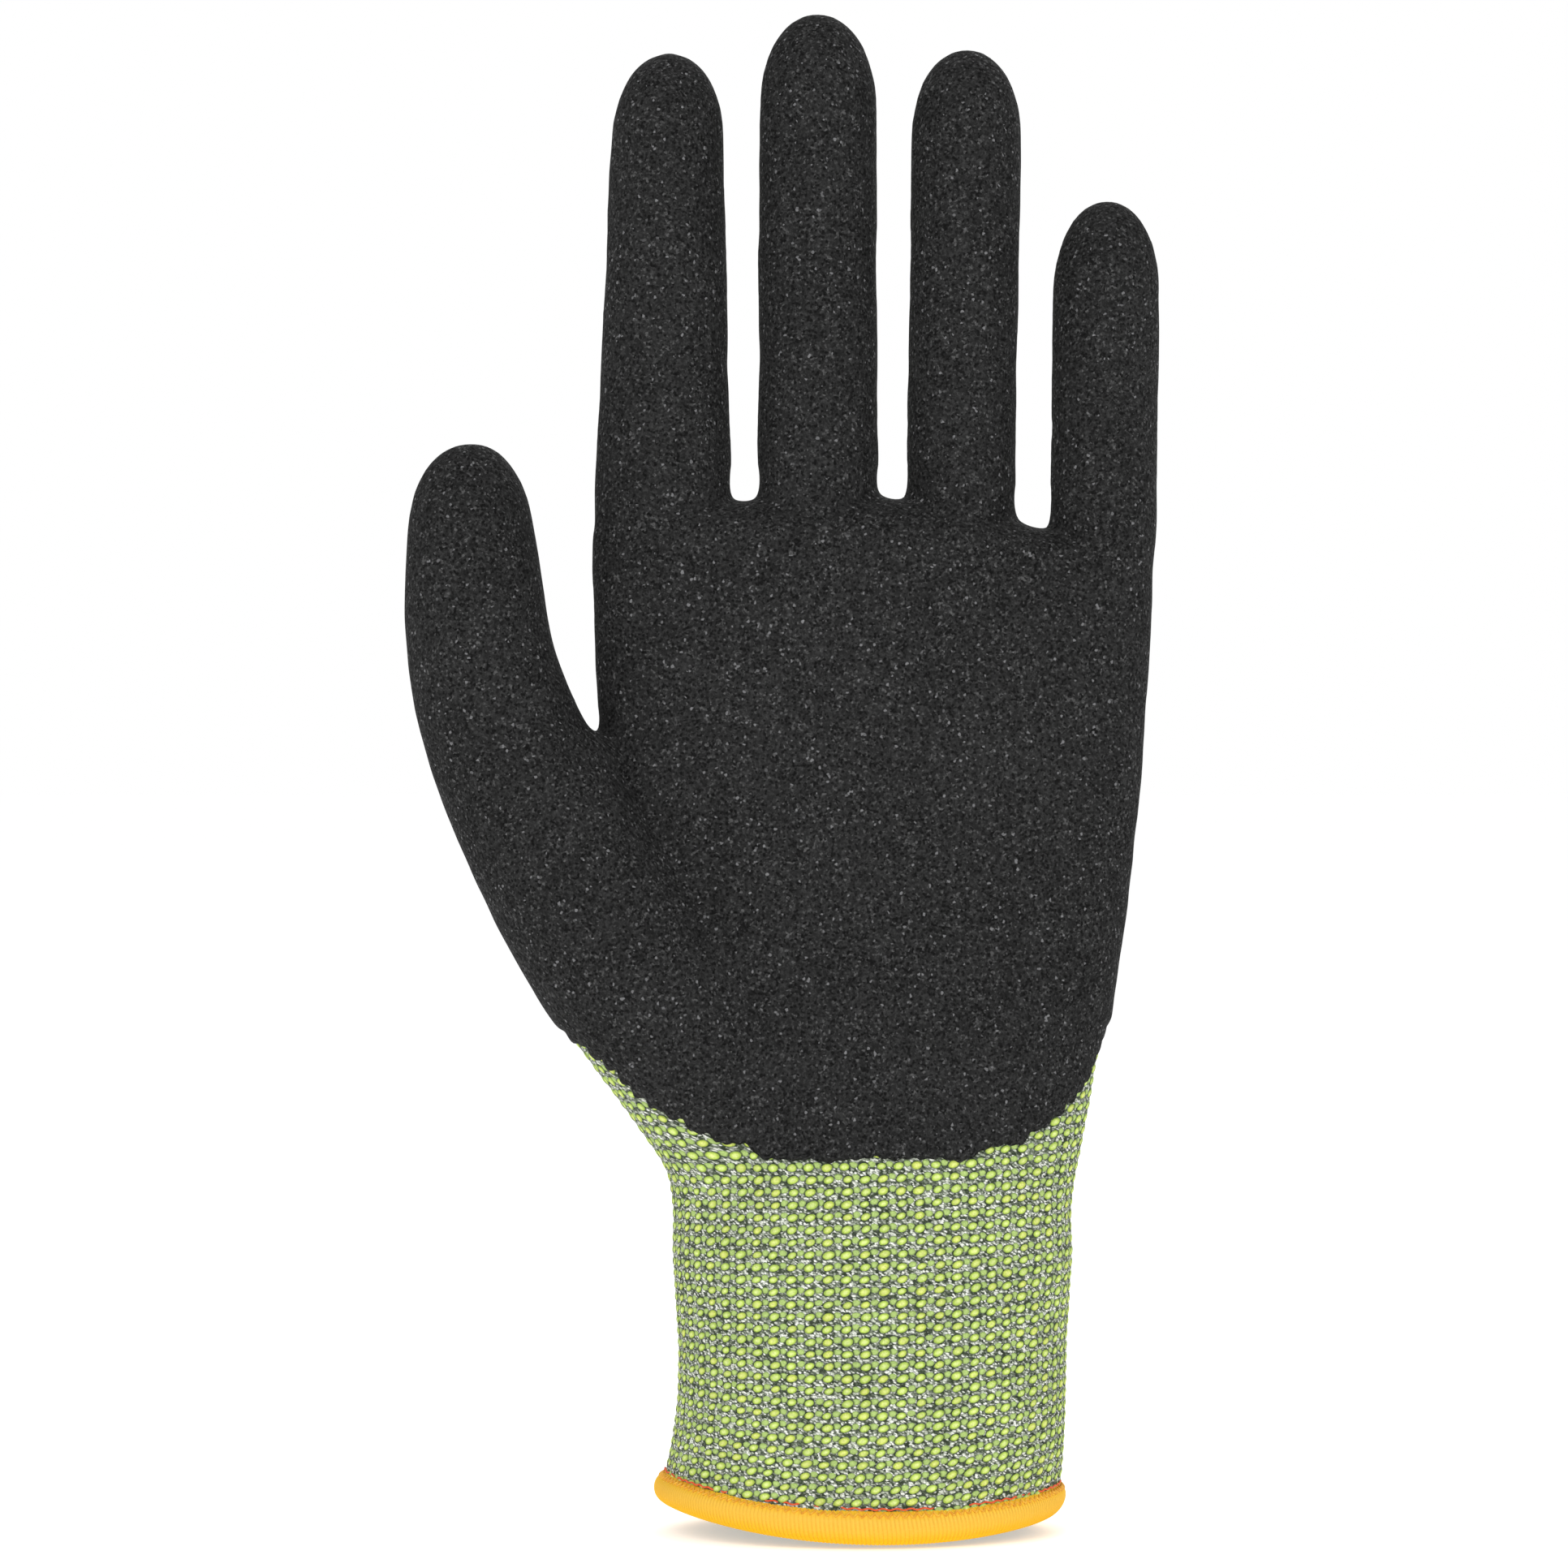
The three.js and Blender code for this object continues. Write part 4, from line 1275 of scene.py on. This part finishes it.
@dataclass(frozen=True)
class CuffTrim:
    """The overlocked hem, its stitching and the elastic yarn inside the cuff."""

    form: HandForm
    height: float = 6.0
    wall: float = 1.6
    wrap: float = 0.85
    wraps: int = 300
    gap: float = 0.3
    bulge: float = 0.3
    thread_relief: float = 0.1
    top_squareness: float = 1.9
    foot_squareness: float = 2.3
    # how far the threads slant over the roll, in wraps, and the room left at its foot and top
    slant: float = 0.9
    room: float = 0.15
    wrap_faces: int = 5
    roll_faces: int = 28
    cord_faces: int = 7
    zigzag_radius: float = 0.16
    zigzags: int = 150
    zigzag_drop: float = 1.0
    zigzag_reach: float = 0.34
    zigzag_steps: int = 8
    edge_radius: float = 0.15
    edge_steps: int = 940
    elastic_radius: float = 0.4
    elastic_turns: int = 4
    elastic_steps: int = 420
    elastic_low: float = 12
    elastic_high: float = 36

    def around(self, turn: Array, outwards: Array | float, height: Array | float) -> Array:
        """A point of the cuff's wall.

        Args:
            turn: Share of the way round, 0 to 1.
            outwards: Distance out from the knit's face, less than 0 inside it.
            height: Height above the hem's lower edge.

        Returns:
            The points.
        """
        height = height + 0 * turn
        middle, width, depth, _ = self.form.palm_sizes(height)
        angle = turn * TURN
        x = middle + (width + outwards) * np.sin(angle)
        points = np.stack([x, -(depth + outwards) * np.cos(angle), height], axis=1)
        points[:, 2] += self.form.hem_lift(points)
        return points

    def hem(self) -> bpy.types.Object:
        """The roll of thread that is wrapped over the cut edge of the knit."""
        bm = bmesh.new()
        wraps = bm.loops.layers.uv.new("wraps")
        sleeve(bm, self.wrap_faces * self.wraps, self.roll_faces, self._hem_shape)
        bmesh.ops.remove_doubles(bm, verts=bm.verts, dist=0.0005)
        bmesh.ops.recalc_face_normals(bm, faces=bm.faces)
        for face in bm.faces:
            centre = face.calc_center_median()
            turn_there = self._turn(centre)
            for loop in face.loops:
                turn = self._turn(loop.vert.co)
                turn += round(turn_there - turn)
                rise = (loop.vert.co.z - self._lift(loop.vert.co)) / self.height
                loop[wraps].uv = (turn * self.wraps + self.slant * rise, rise)
        piece = finished_object("overlock_roll", bm, HemFinish().material())
        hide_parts("overlock_hem")
        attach(piece, "cuff")
        return piece

    def _turn(self, point: Vector) -> float:
        """Share of the way round of a point of the hem."""
        middle, width, depth, _ = self.form.palm_sizes(np.array([self.height / 2]))
        return math.atan2((point.x - middle[0]) / width[0], -point.y / depth[0]) / TURN

    def _lift(self, point: Vector) -> float:
        """How far the hem is lifted at a point."""
        return float(self.form.hem_lift(np.array([point[:]]))[0])

    def _outside(self, up: Array) -> Array:
        """How far out from the middle of the knit the roll reaches, from its foot (-1) to its top (1)."""
        square = np.where(up > 0, self.top_squareness, self.foot_squareness)
        half = self.wall / 2 + self.wrap + self.gap / 2
        return (half + self.bulge * (1 - up**2)) * (1 - np.abs(up) ** square) ** (1 / square)

    def _hem_shape(self, turn: Array, share: Array) -> Array:
        """The hem's points, with its threads raised."""
        angle = share * TURN
        # a hair over the cosine, so that the roll closes at its foot and top
        up = np.clip(np.cos(angle) * 1.0000001, -1, 1)
        thread = np.abs(np.sin(math.pi * (turn * self.wraps + self.slant * (0.5 + 0.5 * up))))
        relief = self.thread_relief * thread
        out = np.sign(np.sin(angle)) * (self._outside(up) + relief * np.abs(np.sin(angle)))
        height = self.height / 2 + (self.height / 2 - self.room + relief) * up
        return self.around(turn, out - self.wall / 2, height)

    def _cord(
        self,
        name: str,
        path: Callable[[Array], Array],
        steps: int,
        radius: float,
        finish: ThreadFinish,
        closed: bool,
    ) -> bpy.types.Object:
        """A fine round thread along a path.

        Args:
            name: The piece's name.
            path: Its middle line, from a share of its length.
            steps: Number of rings.
            radius: Half its thickness.
            finish: Its finish.
            closed: Whether it meets its own start.

        Returns:
            The object.
        """
        bm = bmesh.new()

        def shape(turn: Array, share: Array) -> Array:
            """Points of the thread."""
            at = path(share)
            ahead = path(share + 1e-4) - path(share - 1e-4)
            ahead /= np.linalg.norm(ahead, axis=1)[:, None]
            side = np.cross(ahead, np.array([0.0, 0.0, 1.0]) + 0.2 * at / 100)
            side /= np.linalg.norm(side, axis=1)[:, None]
            up = np.cross(side, ahead)
            angle = turn * TURN
            return at + radius * (side * np.cos(angle)[:, None] + up * np.sin(angle)[:, None])

        sleeve(bm, self.cord_faces, steps, shape)
        bmesh.ops.remove_doubles(bm, verts=bm.verts, dist=0.0005)
        if not closed:
            bmesh.ops.holes_fill(bm, edges=[edge for edge in bm.edges if edge.is_boundary])
        bmesh.ops.recalc_face_normals(bm, faces=bm.faces)
        piece = finished_object(name, bm, finish.material())
        return piece

    def threads(self) -> list[bpy.types.Object]:
        """The zig-zag stitches below the hem's top edge and the fine thread where it meets the knit."""

        def zigzag(share: Array) -> Array:
            """The zig-zag row, laid on the roll."""
            wave = np.arcsin(np.sin(share * TURN * self.zigzags)) * 2 / math.pi
            height = self.height - self.zigzag_drop + self.zigzag_reach * wave
            up = (height - self.height / 2) / (self.height / 2 - self.room)
            return self.around(share, self._outside(up) - self.wall / 2 + 1.6 * self.thread_relief, height)

        def edge(share: Array) -> Array:
            """The thread along the knit, out of sight between stitches."""
            angle = share * TURN
            dip = np.sin(11 * angle) + 0.7 * np.sin(5 * angle + 1) + 0.5 * np.sin(47 * angle)
            wave = 0.12 * np.sin(90 * angle)
            return self.around(share, 0.1 + 0.34 * np.clip(dip, -1, 0.6), self.height - 0.05 + wave)

        stitches = ThreadFinish("stitch_thread", linear(216, 142, 22), linear(240, 184, 56), "hem_thread")
        red = ThreadFinish("edge_thread", linear(206, 62, 22), linear(232, 96, 44), "hem_thread")
        steps = self.zigzags * self.zigzag_steps
        made = [
            self._cord("hem_zigzag_stitch", zigzag, steps, self.zigzag_radius, stitches, True),
            self._cord("hem_edge_thread", edge, self.edge_steps, self.edge_radius, red, True),
        ]
        for piece in made:
            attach(piece, "cuff")
        return made

    def elastic(self, division: Division) -> bpy.types.Object:
        """The elastic yarn laid inside the cuff, which bends with the cuff's knit."""

        def path(share: Array) -> Array:
            """Its middle line."""
            height = lerp(self.elastic_low, self.elastic_high, np.clip(share, 0, 1))
            inside = self.wall + self.elastic_radius * 0.8
            return self.around(share * self.elastic_turns + 0.25, -inside, height)

        finish = ThreadFinish("elastic_thread", linear(214, 212, 200), linear(240, 238, 230), "elastic_yarn")
        piece = self._cord("cuff_elastic_yarn", path, self.elastic_steps, self.elastic_radius, finish, False)
        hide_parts("wrist_elastic_yarn")
        low, high = division.wrist_turn
        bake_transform(piece, "cuff", "palm", start=(0, 0, low * MM), end=(0, 0, high * MM))
        return piece


# ---- The studio ----


@dataclass(frozen=True)
class Studio:
    """A pale floor, soft light and a level camera in front of the palm, in metres."""

    camera_at: tuple[float, float, float] = (-0.0146, -0.9, 0.1227)
    lens: float = 125.1
    floor_size: float = 60.0
    floor_height: float = -0.0006
    floor_glow: float = 0.42
    backdrop: float = 1.0
    surround: float = 0.62
    aim: tuple[float, float, float] = (-0.015, 0, 0.12)
    # name, place, size and power
    lamps: tuple[tuple[str, tuple[float, float, float], float, float], ...] = (
        ("key", (-0.55, -1.1, 0.85), 1.1, 8.0),
        ("fill", (0.8, -0.9, 0.35), 1.0, 4.0),
        ("rim", (0.2, 1.1, 0.9), 1.2, 7.0),
    )

    def build(self) -> None:
        """Sets up floor, lights, background and camera."""
        scene = bpy.context.scene
        scene.view_settings.view_transform = "Standard"
        self._floor()
        for lamp in self.lamps:
            self._light(*lamp)
        world = bpy.data.worlds.new("studio")
        scene.world = world
        world.use_nodes = True
        tree = world.node_tree
        shown, lighting = tree.nodes["Background"], tree.nodes.new("ShaderNodeBackground")
        for backdrop, strength in ((shown, self.backdrop), (lighting, self.surround)):
            backdrop.inputs["Color"].default_value = (1, 1, 1, 1)
            backdrop.inputs["Strength"].default_value = strength
        path = tree.nodes.new("ShaderNodeLightPath")
        chosen = tree.nodes.new("ShaderNodeMixShader")
        tree.links.new(path.outputs["Is Camera Ray"], chosen.inputs[0])
        tree.links.new(lighting.outputs[0], chosen.inputs[1])
        tree.links.new(shown.outputs[0], chosen.inputs[2])
        tree.links.new(chosen.outputs[0], tree.nodes["World Output"].inputs["Surface"])
        camera = stand("camera", bpy.data.cameras.new("camera"))
        camera.data.lens = self.lens
        camera.data.sensor_width = 36
        camera.data.clip_start = 0.01
        camera.location = self.camera_at
        camera.rotation_euler = (math.pi / 2, 0, 0)
        scene.camera = camera

    def _floor(self) -> None:
        """The plain pale floor."""
        bm = bmesh.new()
        bmesh.ops.create_grid(bm, x_segments=1, y_segments=1, size=self.floor_size)
        bmesh.ops.translate(bm, verts=bm.verts, vec=(0, 0, self.floor_height))
        mesh = bpy.data.meshes.new("floor")
        bm.to_mesh(mesh)
        bm.free()
        s = Shading("floor_paper")
        grain = s.noise(s.here(), 900.0, 2.0)
        s.surface.inputs["Emission Color"].default_value = (1, 1, 1, 1)
        s.surface.inputs["Emission Strength"].default_value = self.floor_glow
        mesh.materials.append(s.dress((0.94, 0.94, 0.94, 1), 0.9, s.bump(grain, 0.00005, 0.2), 0.0))
        stand("floor", mesh)

    def _light(self, name: str, at: tuple[float, float, float], size: float, power: float) -> None:
        """One soft square light, aimed at the glove."""
        lamp = stand(name, bpy.data.lights.new(name, "AREA"))
        lamp.data.shape = "SQUARE"
        lamp.data.size = size
        lamp.data.energy = power
        lamp.location = at
        aim = Vector(self.aim) - Vector(at)
        lamp.rotation_mode = "QUATERNION"
        lamp.rotation_quaternion = aim.to_track_quat("-Z", "Y")


def main() -> None:
    """Builds the glove around its frame and reports each piece."""
    logging.basicConfig(level=logging.INFO, format="%(message)s")
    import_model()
    Studio().build()
    form = HandForm()
    skin = GloveSkin(form)
    skin.build()
    trim = CuffTrim(form)
    pieces = [trim.hem(), *trim.threads(), trim.elastic(skin.division)]
    for piece in pieces:
        LOG.info("%s: %d faces", piece.name, len(piece.data.polygons))


if __name__ == "__main__":
    main()
